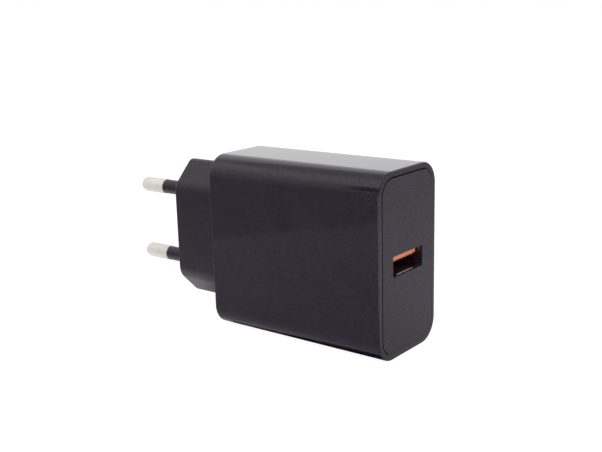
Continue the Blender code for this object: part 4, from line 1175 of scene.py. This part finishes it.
def mirrored_room(tree, direction):
    """How bright the room looks in reflections, by the height of a direction and what it faces."""
    height = node(tree, "SeparateXYZ", Vector=direction).outputs["Z"]

    # In front: a low wall, lighter towards the plug's end, and a high one, lighter upwards.
    low_wall = ramp(tree, towards(tree, direction, (-1, 0, 0)), 0.54, 0.67, 0.35, 0.47)
    high_wall = calculate(tree, "ADD", ramp(tree, height, 0.2, 0.7, 0.0, 0.55), 0.57)
    front = between(tree, ramp(tree, height, 0.14, 0.21), low_wall, high_wall)

    # A screen stands towards the port's end: grey low down, dark above, and with a top edge.
    facing_screen = ramp(tree, towards(tree, direction, (0.82, -0.50, 0.28)), 0.0, 0.025)
    below_top = ramp(tree, height, 0.54, 0.57, 1.0, 0.0)
    in_screen = calculate(tree, "MULTIPLY", facing_screen, below_top)
    screen = ramp(tree, height, 0.28, 0.36, 0.36, 0.06)
    front = between(tree, in_screen, front, screen)

    # Behind: a white backdrop, with a greyer ceiling.
    rear = ramp(tree, height, 0.0, 0.65, 1.36, 1.1)
    rear = between(tree, ramp(tree, height, 0.70, 0.76), rear, 0.62)
    backdrop = ramp(tree, towards(tree, direction, (-0.617, 0.787, 0)), 0.05, 0.42)
    return between(tree, backdrop, front, rear)


def softbox(name, place, power):
    """A large square light aimed at the charger, seen only through what it lights."""
    lamp = bpy.data.lights.new(name, "AREA")
    lamp.size = SOFTBOX_SIZE
    lamp.energy = power
    made = place_object(name, lamp)
    made.location = place
    aim = (BODY_LOW + BODY_HIGH) / 2
    made.rotation_euler = (Vector(place) - aim).to_track_quat("Z", "Y").to_euler()
    made.visible_glossy = False
    made.visible_camera = False


def studio_camera():
    lens = bpy.data.cameras.new("camera")
    lens.lens = CAMERA_LENS
    lens.clip_start = 0.01
    made = place_object("camera", lens)
    turn = Matrix.Rotation(CAMERA_AZIMUTH, 4, "Z")
    tilt = Matrix.Rotation(math.radians(90) - CAMERA_ELEVATION, 4, "X")
    roll = Matrix.Rotation(CAMERA_ROLL, 4, "Z")
    made.matrix_world = Matrix.Translation(CAMERA_PLACE) @ turn @ tilt @ roll
    bpy.context.scene.camera = made


def studio():
    bpy.context.scene.view_settings.view_transform = "Standard"
    studio_floor()
    studio_world()
    softbox("key", (-0.25, -0.55, 0.6), 2.5)
    softbox("fill", (0.65, -0.1, 0.45), 2.0)
    softbox("rear", (-0.3, 0.6, 0.6), 2.0)
    studio_camera()


def main():
    housing()
    front_panel()
    plug_base()
    for word, side in HALVES:
        pin(word, side)
        pin_sleeve(word, side)
        for hand, y in (("left", -SPRING_Y), ("right", SPRING_Y)):
            shell_spring(word, hand, y, side)
    usb_shell()
    usb_insulator()
    for index, y in enumerate(CONTACT_Y):
        usb_contact(index + 1, y)
    board_parts()
    dress_cad_nodes()
    studio()


main()
